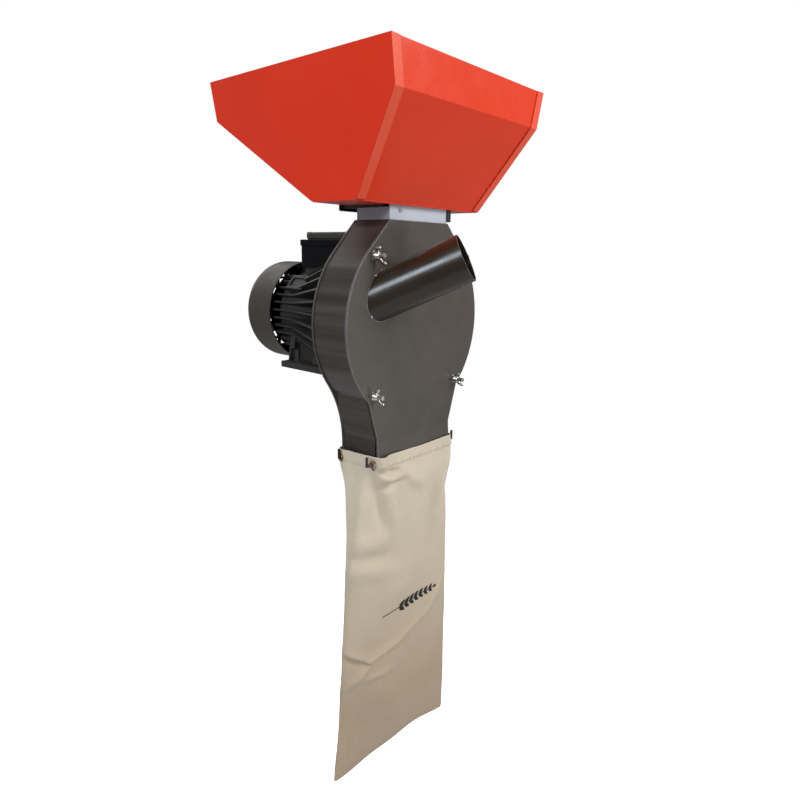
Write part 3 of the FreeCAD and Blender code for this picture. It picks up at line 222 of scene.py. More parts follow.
def paint(name, colour, rough, speck, peel=0.00003, vary=0.10, specular=0.5, wear=None, bevel=0.0006,
          coat=0.0, lit_front_tint=None, rim=None, sheen_tint=None):
    """Powder coat or sprayed paint: orange peel, faint cloudiness, dust, and worn edges. The front-facing tint is
    a painted highlight, a lighter colour on the faces that look to the front where the light falls; rim is a
    painted highlight along the edges; sheen_tint is the colour of the highlights."""
    made = Shader(name, colour, rough, specular=specular)
    dark = tuple(c * (1 - vary) for c in colour)
    light = tuple(min(1.0, c * (1 + vary) + 0.004) for c in colour)
    cloud = made.ramp(made.noise(7.0, 4.0), 0.3, 0.7)
    tone = made.mix(cloud, dark, light)
    dust = made.ramp(made.noise(420.0, 2.0), 0.60, 0.80, 0.0, speck)
    tone = made.mix(dust, tone, tuple(min(1.0, c * 1.35 + 0.01) for c in colour))
    # painted highlight: faces that look to the front take a lighter colour, as if lit
    if lit_front_tint:
        facing = made.axis(1, made.node("ShaderNodeNewGeometry").outputs["True Normal"])
        front = made.ramp(made.math("MULTIPLY", facing, -1.0), 0.35, 0.60)
        tone = made.mix(front, tone, lit_front_tint)
    if wear:
        tone = made.mix(edge_wear_and_highlight(made, bevel * EDGE_MASK_REACH), tone, wear)
    # painted highlight: a smooth lighter colour along every edge
    if rim:
        tone = made.mix(edge_wear_and_highlight(made, bevel * EDGE_MASK_REACH, patches=False), tone, rim)
    made.colour(tone)
    made.rough(made.ramp(made.noise(35.0, 4.0), 0.3, 0.7, rough - 0.05, rough + 0.07))
    fine = made.noise(650.0, 2.0)
    broad = made.noise(60.0, 2.0)
    height = made.math("ADD", made.math("MULTIPLY", fine, 0.5), broad)
    made.normal(made.bump(height, peel, 1.0, made.round_edges(bevel)))
    if coat:
        made.set(made.shader, "Coat Weight", coat)
        made.set(made.shader, "Coat Roughness", COAT_ROUGH)
    if sheen_tint:
        made.set(made.shader, "Specular Tint", (*sheen_tint, 1.0))
    return made.material


TOOL_MARKS = (400.0, 400.0, 30.0)


def metal(name, colour, rough, tint):
    """Bare or plated metal with fine tool marks and a mottled finish."""
    made = Shader(name, colour, rough, metallic=1.0)
    marks = made.noise(1.0, 3.0, vector=made.scaled(TOOL_MARKS))
    blotch = made.ramp(made.noise(120.0, 4.0), 0.35, 0.7)
    made.colour(made.mix(blotch, colour, tint))
    made.rough(made.ramp(marks, 0.3, 0.7, rough - 0.08, rough + 0.12))
    made.normal(made.bump(marks, 0.00002, 1.0, made.round_edges(0.0004)))
    return made.material


def cast(name, colour, rough):
    """Sprayed cast aluminium: pebbled skin under thin paint."""
    made = Shader(name, colour, rough, specular=0.45)
    pebble = made.node("ShaderNodeTexVoronoi")
    made.set(pebble, "Vector", made.place)
    made.set(pebble, "Scale", 520.0)
    rough_skin = made.noise(170.0, 4.0)
    cloud = made.ramp(made.noise(14.0, 4.0), 0.3, 0.7)
    made.colour(made.mix(cloud, tuple(c * 0.8 for c in colour), tuple(c * 1.25 for c in colour)))
    made.rough(made.ramp(rough_skin, 0.3, 0.7, rough - 0.08, rough + 0.08))
    height = made.math("ADD", made.math("MULTIPLY", pebble.outputs["Distance"], 0.5), rough_skin)
    made.normal(made.bump(height, 0.00012, 1.0, made.round_edges(0.0008)))
    return made.material


def moulded(name, colour, rough, grain=0.00004, specular=0.4):
    """Moulded plastic or rubber with a spark-eroded grain."""
    made = Shader(name, colour, rough, specular=specular)
    grainy = made.noise(900.0, 2.0)
    cloud = made.ramp(made.noise(18.0, 3.0), 0.3, 0.7)
    made.colour(made.mix(cloud, tuple(c * 0.85 for c in colour), tuple(c * 1.2 for c in colour)))
    made.rough(made.ramp(made.noise(45.0, 3.0), 0.3, 0.7, rough - 0.05, rough + 0.07))
    made.normal(made.bump(grainy, grain, 1.0, made.round_edges(0.0007)))
    return made.material


SHEET_PITCH = 0.0012
WIRE_WAVE = 5200.0


def laminated(name, colour, rough):
    """Sheets stacked along y."""
    made = Shader(name, colour, rough, metallic=0.9)
    wave = made.math("SINE", made.math("MULTIPLY", made.axis(1), 2 * math.pi / SHEET_PITCH))
    spots = made.ramp(made.noise(150.0, 4.0), 0.4, 0.65)
    made.colour(made.mix(spots, colour, tuple(c * 0.55 for c in colour)))
    made.rough(made.ramp(spots, 0.0, 1.0, rough, rough + 0.15))
    made.normal(made.bump(wave, 0.0001, 0.6, made.round_edges(0.0004)))
    return made.material


def wound(name, colour, rough):
    """Varnished winding wire."""
    made = Shader(name, colour, rough, metallic=0.7)
    turns = made.math("SINE", made.math("MULTIPLY", made.axis(1), WIRE_WAVE))
    wander = made.noise(70.0, 3.0)
    made.colour(made.mix(made.ramp(wander, 0.35, 0.65), colour, tuple(c * 0.6 for c in colour)))
    made.normal(made.bump(made.math("ADD", turns, made.math("MULTIPLY", wander, 3.0)), 0.0002, 0.8))
    return made.material


CANVAS = (0.590, 0.520, 0.412)
# Painted shade on the bag: its colour factor at the foot, and the height where the darkening starts
FOOT_SHADE = (0.52, 0.43, 0.36)
FOOT_SHADE_TOP = -0.20
HUSK = (0.26, 0.19, 0.10)
THREAD = (0.56, 0.51, 0.42)
THREAD_PITCH = 0.0011


def canvas(name, base):
    """Unbleached cotton canvas: two sets of threads, slubs, husk flecks, and painted shade that darkens and warms
    it towards the foot.
    """
    made = Shader(name, base, 0.92, specular=0.12)
    across = made.math("ADD", made.axis(0), made.axis(1))
    down = made.axis(2)
    turn = 2 * math.pi / THREAD_PITCH
    sway = made.math("MULTIPLY", made.noise(38.0, 2.0), 2.2)
    warp = made.math("SINE", made.math("ADD", made.math("MULTIPLY", across, turn), sway))
    weft = made.math("SINE", made.math("ADD", made.math("MULTIPLY", down, turn), sway))
    weave = made.math("MAXIMUM", made.math("MULTIPLY", warp, weft), made.math("MULTIPLY", warp, -0.35))
    slub_down = made.noise(1.0, 3.0, vector=made.scaled((900.0, 900.0, 22.0)))
    slub_across = made.noise(1.0, 3.0, vector=made.scaled((22.0, 22.0, 900.0)))
    slub = made.math("ADD", slub_down, slub_across)
    cloud = made.ramp(made.noise(9.0, 4.0), 0.30, 0.72)
    tone = made.mix(cloud, tuple(c * 0.90 for c in base), tuple(min(1.0, c * 1.05) for c in base))
    # painted shade: the cloth is darker and warmer towards the foot, where less light falls
    low = made.ramp(down, cad_box[0].z + 0.10, FOOT_SHADE_TOP, 1.0, 0.0)
    tone = made.mix(made.math("MULTIPLY", low, 0.90), tone, tuple(c * s for c, s in zip(base, FOOT_SHADE)))
    tone = made.mix(made.ramp(slub, 0.85, 1.25, 0.0, 0.30), tone, tuple(c * 0.74 for c in base))
    fleck = made.noise(310.0, 2.0, vector=made.scaled((1.0, 1.0, 0.45)))
    fleck = made.ramp(fleck, 0.70, 0.78, 0.0, 0.35)
    tone = made.mix(fleck, tone, HUSK)
    made.colour(tone)
    made.set(made.shader, "Sheen Weight", 0.18)
    made.set(made.shader, "Sheen Roughness", 0.5)
    height = made.math("ADD", made.math("MULTIPLY", weave, 0.5), made.math("MULTIPLY", slub, 0.9))
    made.normal(made.bump(height, 0.00018, 0.85))
    return made.material


def band_paint():
    """The casing's satin paint, with the faint draw lines that run along the rolled band, and painted light and
    shade along them: its colour turns lighter and darker with the lines.
    """
    made = Shader("casing_band_paint", (0.034, 0.027, 0.022), 0.36, specular=0.50)
    lines = made.noise(1.0, 3.0, vector=made.scaled((9.0, 1.5, 72.0)))
    cloud = made.ramp(made.noise(8.0, 4.0), 0.3, 0.7)
    # painted light and shade: the colour is lighter and darker along the lines, like the band's small bends
    # catching light
    facet_light_and_shade = made.ramp(lines, 0.34, 0.66)
    tone = made.mix(facet_light_and_shade, (0.021, 0.016, 0.013), (0.058, 0.047, 0.039))
    made.colour(made.mix(made.math("MULTIPLY", cloud, 0.35), tone, (0.036, 0.030, 0.025)))
    made.rough(made.ramp(lines, 0.3, 0.7, 0.27, 0.43))
    peel = made.noise(620.0, 2.0)
    height = made.math("ADD", made.math("MULTIPLY", peel, 0.02), lines)
    made.normal(made.bump(height, 0.0015, 1.0, made.round_edges(0.0008)))
    return made.material


# ---------------------------------------------------------------- materials by slot and by node

HOPPER_RED = (0.68, 0.028, 0.004)
HOPPER_FINISH = {"speck": 0.0, "peel": 0.000006, "vary": 0.03, "bevel": 0.0011}
CASING_GREY = (0.062, 0.053, 0.045)

slots = {
    "hopper_red": paint("hopper_powder_coat", HOPPER_RED, 0.30, coat=0.06, specular=0.35, **HOPPER_FINISH),
    "neck_grey": paint("neck_paint", (0.47, 0.51, 0.58), 0.38, speck=0.15, vary=0.05,
                       wear=(0.30, 0.30, 0.31)),
    "casing_paint": paint("casing_paint", CASING_GREY, 0.40, speck=0.12, peel=0.00004, vary=0.12,
                          bevel=0.0008, wear=(0.11, 0.10, 0.09)),
    "gate_black": paint("gate_paint", (0.016, 0.016, 0.017), 0.38, speck=0.3, wear=(0.20, 0.20, 0.20)),
    "zinc": metal("zinc_plate", (0.74, 0.73, 0.70), 0.26, tint=(0.42, 0.41, 0.38)),
    "steel": metal("steel", (0.36, 0.35, 0.34), 0.38, tint=(0.17, 0.14, 0.12)),
    "motor_paint": cast("motor_paint", (0.020, 0.020, 0.018), 0.48),
    "fan_cover_paint": paint("fan_cover_paint", (0.040, 0.033, 0.025), 0.44, speck=0.3, peel=0.00005,
                             wear=(0.10, 0.09, 0.08)),
    "electric_steel": laminated("electric_steel", (0.30, 0.30, 0.31), 0.42),
    "copper": wound("winding_copper", (0.62, 0.25, 0.10), 0.35),
    "box_black": moulded("box_plastic", (0.0020, 0.0022, 0.0030), 0.50, specular=0.12),
    "lid_grey": moulded("lid_plastic", (0.036, 0.033, 0.027), 0.44),
    "gasket_black": moulded("gasket_rubber", (0.010, 0.010, 0.010), 0.70, 0.0001),
    "capacitor_white": moulded("capacitor_plastic", (0.70, 0.69, 0.64), 0.35),
    "canvas": canvas("bag_canvas", CANVAS),
    "eyelet_brass": metal("eyelet_brass", (0.36, 0.23, 0.11), 0.36, tint=(0.20, 0.12, 0.06)),
}
# The hopper's sides: the lighter red on their front-facing faces is a painted highlight
hopper_lit_front = paint("hopper_powder_coat_lit_front", HOPPER_RED, 0.28, coat=0.06, specular=0.40,
                      lit_front_tint=(0.80, 0.100, 0.050), **HOPPER_FINISH)
own_material = {
    "hopper_side_left": hopper_lit_front,
    "hopper_side_right": hopper_lit_front,
    # The hopper's front panel: a lighter copy of the hopper red, painted light where the key light falls
    "hopper_front": paint("hopper_front_lit_powder_coat", (0.74, 0.044, 0.009), 0.26, coat=0.12, specular=0.45,
                          **HOPPER_FINISH),
    # The feed tube's rim colour is a painted highlight along its edges
    "feed_tube": paint("feed_tube_paint", (0.023, 0.013, 0.006), 0.24, speck=0.10, peel=0.000006, vary=0.12,
                       bevel=0.0008, rim=(0.20, 0.18, 0.15), sheen_tint=(0.84, 0.93, 1.0)),
    # The cover's rim colour is a painted highlight along its edges
    "front_cover": paint("front_cover_paint", CASING_GREY, 0.40, speck=0.12, bevel=0.0012,
                         rim=(0.30, 0.31, 0.33)),
    "casing_band": band_paint(),
    "bag_hooks": metal("hook_steel", (0.10, 0.09, 0.085), 0.40, tint=(0.05, 0.045, 0.04)),
}

slot_of = {row["node"]: row["material_slot"] for row in frame["record"]["subparts"]}
for name, node in nodes.items():
    material = own_material.get(name) or slots[slot_of[name]]
    if not node.material_slots:
        node.data.materials.append(material)
    for place in node.material_slots:
        place.material = material


# ---------------------------------------------------------------- mesh helpers

def new_piece(name, points, faces, slot, body="frame", material=None):
    mesh = bpy.data.meshes.new(name)
    mesh.from_pydata([tuple(p) for p in points], [], faces)
    mesh.validate()
    mesh.materials.append(material or slots[slot])
    mesh.polygons.foreach_set("use_smooth", [True] * len(mesh.polygons))
    piece = bpy.data.objects.new(name, mesh)
    bpy.context.scene.collection.objects.link(piece)
    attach(piece, body)
    return piece


def frame_along(direction):
    """Two unit vectors square to a direction."""
    direction = Vector(direction).normalized()
    side = direction.cross(Vector((0, 0, 1)))
    if side.length < 1e-3:
        side = direction.cross(Vector((1, 0, 0)))
    side.normalize()
    return side, direction.cross(side)


def lathe(profile, start, direction, turns):
    """Points and faces of a profile (along, radius) turned about an axis; it closes if the profile does."""
    direction = Vector(direction).normalized()
    side, up = frame_along(direction)
    points, faces = [], []
    for k in range(turns):
        a = 2 * math.pi * k / turns
        out = side * math.cos(a) + up * math.sin(a)
        points += [Vector(start) + direction * s + out * r for s, r in profile]
    n = len(profile)
    for k in range(turns):
        for i in range(n - 1):
            a, b = k * n + i, ((k + 1) % turns) * n + i
            faces.append((a, a + 1, b + 1, b))
    return points, faces


def join(parts):
    """One list of points and faces out of several."""
    points, faces = [], []
    for some_points, some_faces in parts:
        base = len(points)
        points += list(some_points)
        faces += [tuple(i + base for i in face) for face in some_faces]
    return points, faces


def tube_along(path, radius, sides):
    """A round tube along a list of points, with capped ends."""
    last = len(path) - 1
    points, faces = [], []
    for i, p in enumerate(path):
        side, up = frame_along(path[min(i + 1, last)] - path[max(i - 1, 0)])
        for k in range(sides):
            a = 2 * math.pi * k / sides
            points.append(p + (side * math.cos(a) + up * math.sin(a)) * radius)
    for i in range(last):
        for k in range(sides):
            a, b = i * sides + k, i * sides + (k + 1) % sides
            faces.append((a, b, b + sides, a + sides))
    faces.append(tuple(range(sides))[::-1])
    faces.append(tuple(last * sides + k for k in range(sides)))
    return points, faces


def mesh_clean(piece):
    """Joins points that coincide and turns every face outwards."""
    bm = bmesh.new()
    bm.from_mesh(piece.data)
    bmesh.ops.remove_doubles(bm, verts=bm.verts, dist=1e-6)
    bmesh.ops.recalc_face_normals(bm, faces=bm.faces)
    bm.to_mesh(piece.data)
    bm.free()


# ---------------------------------------------------------------- wing nuts

NUT_TURNS = {"wing_nut_1": -62, "wing_nut_2": -35, "wing_nut_3": -66, "wing_nut_4": -58}
nut_axis = {j["child"]: Vector(j["pos_m"]) for j in frame["joints"] if j["name"].startswith("wing_nut")}


# The hub is (forward, radius) from the nut's back and the wing (out, forward), in metres. The wing's layers
# are (offset across it, size), about its middle.
NUT_HUB = ((0.0, 0.00305), (0.0, 0.0061), (0.0012, 0.0064), (0.0050, 0.0054), (0.0080, 0.0046),
           (0.0090, 0.0039), (0.0090, 0.00305), (0.0, 0.00305))
WING_OUTLINE = ((0.0040, 0.0012), (0.0085, 0.0032), (0.0118, 0.0075), (0.0134, 0.0118), (0.0124, 0.0146),
                (0.0098, 0.0143), (0.0080, 0.0112), (0.0062, 0.0082), (0.0040, 0.0076))
WING_MIDDLE = (0.0090, 0.0080)
WING_LAYERS = ((-0.0013, 0.90), (-0.0008, 1.0), (0.0008, 1.0), (0.0013, 0.90))


def wing_nut(name):
    """A pressed wing nut: domed hub and two rounded ears, subdivided to a smooth casting."""
    axis = nut_axis[name + "_body"]
    back = Vector((axis.x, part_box(name)[1].y, axis.z))
    parts = [lathe(NUT_HUB, back, (0, -1, 0), 32)]
    turn = math.radians(NUT_TURNS[name])
    mid_s, mid_f = WING_MIDDLE
    n = len(WING_OUTLINE)
    last = len(WING_LAYERS) - 1
    for side in (1, -1):
        out = Vector((math.cos(turn), 0, math.sin(turn))) * side
        thick = Vector((-math.sin(turn), 0, math.cos(turn)))
        points, faces = [], []
        for offset, size in WING_LAYERS:
            for s, f in WING_OUTLINE:
                s, f = mid_s + (s - mid_s) * size, mid_f + (f - mid_f) * size
                points.append(back + out * s + Vector((0, -f, 0)) + thick * offset)
        for k in range(last):
            for i in range(n):
                j = (i + 1) % n
                faces.append((k * n + i, k * n + j, (k + 1) * n + j, (k + 1) * n + i))
        faces.append(tuple(range(n))[::-1])
        faces.append(tuple(last * n + i for i in range(n)))
        parts.append((points, faces))
    piece = new_piece(name + "_cast", *join(parts), "zinc", name + "_body")
    mesh_clean(piece)
    smooth = piece.modifiers.new("smooth", "SUBSURF")
    smooth.levels = smooth.render_levels = 2
    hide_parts(name)


for nut in NUT_TURNS:
    wing_nut(nut)


# ---------------------------------------------------------------- the bag

# The bag is laid out in the CAD's millimetres. A place on its cloth is (s, z): the run round the cloth, from
# the left seam along the front, and the height.

# Levels of the hanging bag: height, centre x, centre y, half width, half depth, turn in degrees, how square
# its section is, from 1 (a square-cornered mouth) to 0 (two sheets that meet in side seams), and how much
# narrower its front is than its rear on each side
BAG_LEVELS = (
    (-179.0, 0.0, 32.0, 92.5, 38.4, 0.0, 1.0, 8.5),
    (-190.0, 0.0, 32.0, 93.0, 38.2, 0.0, 1.0, 8.5),
    (-215.0, 0.3, 31.5, 95.0, 36.0, -0.5, 0.92, 7.0),
    (-250.0, 1.0, 30.5, 99.0, 30.5, -1.2, 0.78, 4.5),
    (-300.0, 2.0, 29.5, 104.5, 24.5, -2.0, 0.62, 2.0),
    (-370.0, 2.6, 29.0, 109.5, 20.5, -3.0, 0.50, 0.5),
    (-450.0, 3.0, 29.0, 112.5, 18.0, -4.0, 0.42, 0.0),
    (-540.0, 2.0, 29.5, 115.0, 15.5, -4.6, 0.34, 0.0),
    (-620.0, 0.0, 30.0, 117.5, 12.5, -5.0, 0.25, 0.0),
    (-680.0, -3.0, 30.0, 121.0, 7.5, -5.0, 0.10, 0.0),
    (-707.0, -4.0, 30.0, 123.0, 2.2, -5.0, 0.0, 0.0),
)
# Steps of the cloth's grid, round and down, and of a section's outline before it is spaced evenly
BAG_AROUND = 360
BAG_DOWN = 420
RING_STEPS = 2400
# How bent a section's outline is: in both directions at a square mouth, and in x and in y at a flat foot
SQUARE_POWER = 0.24
FLAT_POWER_X, FLAT_POWER_Y = 0.92, 1.9
BAG_TOP = BAG_LEVELS[0][0]
BAG_FOOT = BAG_LEVELS[-1][0]
BAG_LENGTH = BAG_TOP - BAG_FOOT
BAG_GIRTH = 516.0
CLOTH_THICK = 0.9
HEM = 17.0
PUCKER_PITCH = 8.6
FOLD_DEPTH = 1.75
# Each fold: start, end, width, height, and for a crease its sharpness and lift
FOLDS = (
    # tension folds from the near front hook: a soft crest towards the middle and a valley beside it
    ((50, -204), (88, -304), 12, 3.2),
    ((27, -203), (58, -290), 9, -2.9),
    ((40, -203), (80, -207), 4.2, -2.3, 1.2),
    ((46, -213), (84, -220), 5.5, 2.6, 1.1),
    ((50, -230), (96, -226), 7, -2.2),
    ((84, -206), (150, -246), 11, 2.2),
    ((14, -196), (12, -300), 10, 2.8),
    ((0, -340), (76, -346), 12, -2.1),
    ((4, -316), (84, -320), 14, 1.3),
    # the far front corner: crest and long hollow
    ((216, -198), (196, -330), 14, 3.8),
    ((232, -205), (222, -300), 9, -2.6),
    ((186, -230), (168, -420), 20, -2.8),
    ((150, -205), (150, -250), 26, 1.4),
    # broad swells half way down
    ((24, -362), (120, -378), 16, 2.0),
    ((60, -420), (150, -400), 30, 2.0),
    # the crease that crosses the front below the middle, and the small folds under it
    ((6, -497), (46, -520), 6.5, 0.0, 1.0, 2.6),
    ((52, -521), (120, -508), 7.5, 1.0, 1.0, 2.6),
    ((112, -510), (182, -484), 8.5, 0.8, 1.0, 1.8),
    ((180, -486), (232, -438), 8.0, 2.0),
    ((12, -552), (58, -522), 8, 2.8),
    ((44, -548), (100, -552), 6.5, 2.2),
    ((60, -560), (120, -640), 24, 2.4),
    # the rear face: its own slack folds
    ((476, -200), (420, -320), 14, 3.6),
    ((300, -200), (340, -330), 15, 3.4),
    ((330, -470), (450, -500), 9, 1.0, 1.0, 2.6),
    ((360, -340), (390, -640), 30, -3.0),
    ((300, -540), (380, -600), 10, 2.0),
)
# The mouth's corners and the middles of its front and rear edges, by their run round the cloth
NEAR_CORNER, FAR_CORNER = 40.0, 218.0
FRONT_MIDDLE, REAR_MIDDLE = BAG_GIRTH / 4, BAG_GIRTH * 3 / 4
EDGE_HALF = 95.0
# How far down the mouth's slack reaches, and how far up the foot's sag, and the foot's half width
MOUTH_REACH = 34.0
FOOT_REACH = 130.0
FOOT_HALF = BAG_LEVELS[-1][3]


def smooth_levels(z):
    """The bag's section at a height, by monotone cubic steps between its levels."""
    rows = np.array(BAG_LEVELS)
    heights = rows[::-1, 0]
    values = rows[::-1, 1:]
    out = []
    for k in range(values.shape[1]):
        v = values[:, k]
        d = np.diff(v) / np.diff(heights)
        m = np.zeros(len(v))
        m[1:-1] = np.where(d[:-1] * d[1:] > 0, 2 * d[:-1] * d[1:] / (d[:-1] + d[1:] + 1e-12), 0)
        m[0], m[-1] = d[0], d[-1]
        i = int(np.clip(np.searchsorted(heights, z) - 1, 0, len(v) - 2))
        h = heights[i + 1] - heights[i]
        t = np.clip((z - heights[i]) / h, 0, 1)
        out.append((2 * t**3 - 3 * t**2 + 1) * v[i] + (t**3 - 2 * t**2 + t) * h * m[i]
                   + (3 * t**2 - 2 * t**3) * v[i + 1] + (t**3 - t**2) * h * m[i + 1])
    return out


def bag_ring(z):
    """Points round the bag at one height, evenly spaced from the left seam along the front to the right."""
    cx, cy, half_x, half_y, turn, square, trim = smooth_levels(z)
    t = np.linspace(0, 2 * np.pi, RING_STEPS + 1)[:-1]
    power_x = SQUARE_POWER * square + FLAT_POWER_X * (1 - square)
    power_y = SQUARE_POWER * square + FLAT_POWER_Y * (1 - square)
    x = -half_x * np.sign(np.cos(t)) * np.abs(np.cos(t)) ** power_x
    y = -half_y * np.sign(np.sin(t)) * np.abs(np.sin(t)) ** power_y
    x = x * (1 - trim / half_x * (1 - y / half_y) / 2)
    x, y = np.append(x, x[0]), np.append(y, y[0])
    run = np.concatenate([[0], np.cumsum(np.hypot(np.diff(x), np.diff(y)))])
    want = np.linspace(0, run[-1], BAG_AROUND + 1)[:-1]
    x, y = np.interp(want, run, x), np.interp(want, run, y)
    a = math.radians(turn)
    return cx + x * math.cos(a) - y * math.sin(a), cy + x * math.sin(a) + y * math.cos(a)


def ridge(s, z, start, end, width, height, sharp=1.0, lift=0.0):
    """A fold along a line in the cloth: a ridge, or a valley when its height is negative, fading at both
    ends. Lift adds a ledge, proud on one side and sunk on the other."""
    ds, dz = end[0] - start[0], end[1] - start[1]
    length = math.hypot(ds, dz)
    u = ((s - start[0]) * ds + (z - start[1]) * dz) / length
    v = (-(s - start[0]) * dz + (z - start[1]) * ds) / length
    along = np.clip(u / length, 0, 1)
    past = np.maximum(0, np.maximum(-u, u - length))
    fade = np.sin(np.pi * np.clip(0.08 + 0.84 * along, 0, 1)) ** 0.6 * np.exp(-(past / (width * 1.4)) ** 2)
    bump = np.exp(-np.abs(v / width) ** (2 * sharp))
    ledge = np.tanh(v / (0.35 * width)) * np.exp(-((v / (1.6 * width)) ** 2))
    return fade * (height * bump + lift * ledge)


def wrinkles(s, z, seed, scale_s, scale_z, octaves):
    """Smooth noise over the cloth that meets itself at the seam, from a few seeded waves."""
    made = np.zeros_like(s)
    draw = np.random.default_rng(seed)
    for k in range(octaves):
        for _ in range(5):
            n = draw.integers(1, 4 + 3 * k)
            kz = draw.normal(0, 1) / scale_z * (k + 1)
            phase = draw.uniform(0, 2 * np.pi)
            wave = np.cos(2 * np.pi * n * s / BAG_GIRTH * scale_s + kz * z + phase)
            made += wave / (k + 1) ** 1.3
    return made / 6.0


def bag_surface():
    """The outer face of the bag as a grid of points, [down][round], in the CAD's millimetres."""
    heights = BAG_TOP - BAG_LENGTH * np.linspace(0, 1, BAG_DOWN + 1)
    ring_x, ring_y = zip(*[bag_ring(z) for z in heights])
    x, y = np.array(ring_x), np.array(ring_y)
    z = np.repeat(heights[:, None], BAG_AROUND, 1)
    s = np.repeat(np.linspace(0, BAG_GIRTH, BAG_AROUND + 1)[None, :-1], BAG_DOWN + 1, 0)

    drop = BAG_TOP - z
    near_foot = np.clip((z - BAG_FOOT) / 45.0, 0, 1)
    push = np.zeros_like(x)
    for fold in FOLDS:
        push += ridge(s, z, *fold)
    push *= FOLD_DEPTH
    push += 1.9 * wrinkles(s, z, 3, 1.0, 46.0, 3) * np.clip(drop / 40, 0.15, 1) * (0.35 + 0.65 * near_foot)
    push += 0.55 * wrinkles(s, z, 11, 4.0, 14.0, 4) * near_foot
    # the hem: a second layer of cloth, and the pucker along its stitches
    hem_edge = 1 / (1 + np.exp((drop - HEM) / 0.5))
    uneven = 1 + 0.6 * np.sin(2 * np.pi * s / 43.0 + 1.0) * np.sin(2 * np.pi * s / 29.0)
    pucker = 0.42 * uneven * np.cos(2 * np.pi * s / PUCKER_PITCH) * np.exp(-((drop - HEM + 2.0) / 4.5) ** 2)
    push += 1.1 * hem_edge + pucker
    # side seams stand a little proud lower down, where the two sheets are sewn together
    for seam in (0.0, BAG_GIRTH / 2, BAG_GIRTH):
        push += 0.9 * np.exp(-((s - seam) / 1.3) ** 2) * np.clip((drop - 60) / 80, 0, 1)

    normal_x, normal_y = outward(x, y)
    x, y = x + normal_x * push, y + normal_y * push

    # the mouth: slack between the hooks, so its edge dips and its near front corner swings forward
    mouth = np.exp(-(drop / MOUTH_REACH) ** 2)
    corner = np.exp(-((s - NEAR_CORNER) / 13.0) ** 2)
    far_corner = np.exp(-((s - FAR_CORNER) / 14.0) ** 2)
    y -= mouth * (5.5 * corner + 2.0 * far_corner)
    x -= mouth * (-1.5 * corner + 1.0 * far_corner)
    front = np.clip(1 - np.abs(s - FRONT_MIDDLE) / EDGE_HALF, 0, 1)
    y += mouth * 3.2 * np.sin(np.pi * front / 2) ** 1.5
    rear = np.clip(1 - np.abs(s - REAR_MIDDLE) / EDGE_HALF, 0, 1)
    y += mouth * 2.5 * np.sin(np.pi * rear / 2)
    z = z - mouth * (2.2 * np.sin(np.pi * front / 2) ** 2 + 3.0 * np.sin(np.pi * rear / 2) ** 2)
    z = z - mouth * 1.2 * corner
    # the foot hangs a little lower at its corners, and its corners are rounded
    foot = np.clip((drop - BAG_LENGTH + FOOT_REACH) / FOOT_REACH, 0, 1) ** 2
    out = (x - x.mean(1, keepdims=True)) / FOOT_HALF
    z = z - foot * (6.5 * out ** 2 - 4.0 - 2.5 * out)
    round_off = np.clip((np.abs(out) - 0.955) / 0.045, 0, 1) ** 2
    z = z + foot ** 8 * round_off * 5.0
    # the foot seam hangs in a slow wave, and the cloth over it sways with it
    z = z + foot ** 2 * (3.2 * np.sin(3.4 * out + 0.6) - 1.6 * np.cos(7.0 * out))
    return x, y, z


def outward(x, y):
    """Unit normals of the rings, pointing out of the bag."""
    dx = np.roll(x, -1, 1) - np.roll(x, 1, 1)
    dy = np.roll(y, -1, 1) - np.roll(y, 1, 1)
    size = np.hypot(dx, dy) + 1e-9
    return dy / size, -dx / size


def make_bag():
    """The cloth, one sheet with its foot sewn shut, and the grid that the sewn pieces are laid on."""
    x, y, z = bag_surface()
    points = [at(*p) for p in zip(x.ravel(), y.ravel(), z.ravel())]
    faces = []
    for start in range(0, BAG_DOWN * BAG_AROUND, BAG_AROUND):
        for j in range(BAG_AROUND):
            a, b = start + j, start + (j + 1) % BAG_AROUND
            faces.append((a, a + BAG_AROUND, b + BAG_AROUND, b))
    # the foot seam: the two sheets meet, front to rear
    last = BAG_DOWN * BAG_AROUND
    for j in range(BAG_AROUND // 2):
        a, b = last + j, last + j + 1
        c, d = last + (BAG_AROUND - j - 1) % BAG_AROUND, last + (BAG_AROUND - j) % BAG_AROUND
        face = [a, b, c, d]
        kept = [v for i, v in enumerate(face) if v not in face[:i]]
        if len(kept) > 2:
            faces.append(tuple(kept))
    bag = new_piece("bag_cloth", points, faces, "canvas")
    mesh_clean(bag)
    shell = bag.modifiers.new("thickness", "SOLIDIFY")
    shell.thickness = CLOTH_THICK / 1000.0
    shell.offset = -1.0
    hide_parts("bag")
    return bag, (x, y, z)


bag_piece, bag_grid = make_bag()


def on_bag(s, z, lift=0.0):
    """A point on the bag's outer face, from its run round the cloth and its height, raised by lift."""
    gx, gy, gz = bag_grid
    row = (BAG_TOP - z) / BAG_LENGTH * BAG_DOWN
    col = (s / BAG_GIRTH * BAG_AROUND) % BAG_AROUND
    i = int(np.clip(row, 0, BAG_DOWN - 1))
    j = int(col) % BAG_AROUND
    k = (j + 1) % BAG_AROUND
    fi, fj = min(1.0, max(0.0, row - i)), col - int(col)

    def spot(g):
        upper, lower = (g[row, j] * (1 - fj) + g[row, k] * fj for row in (i, i + 1))
        return upper * (1 - fi) + lower * fi

    here = Vector((spot(gx), spot(gy), spot(gz)))
    run = Vector((gx[i, k] - gx[i, j], gy[i, k] - gy[i, j], gz[i, k] - gz[i, j]))
    fall = Vector((gx[i + 1, j] - gx[i, j], gy[i + 1, j] - gy[i, j], gz[i + 1, j] - gz[i, j]))
    return at(*(here + fall.cross(run).normalized() * lift))


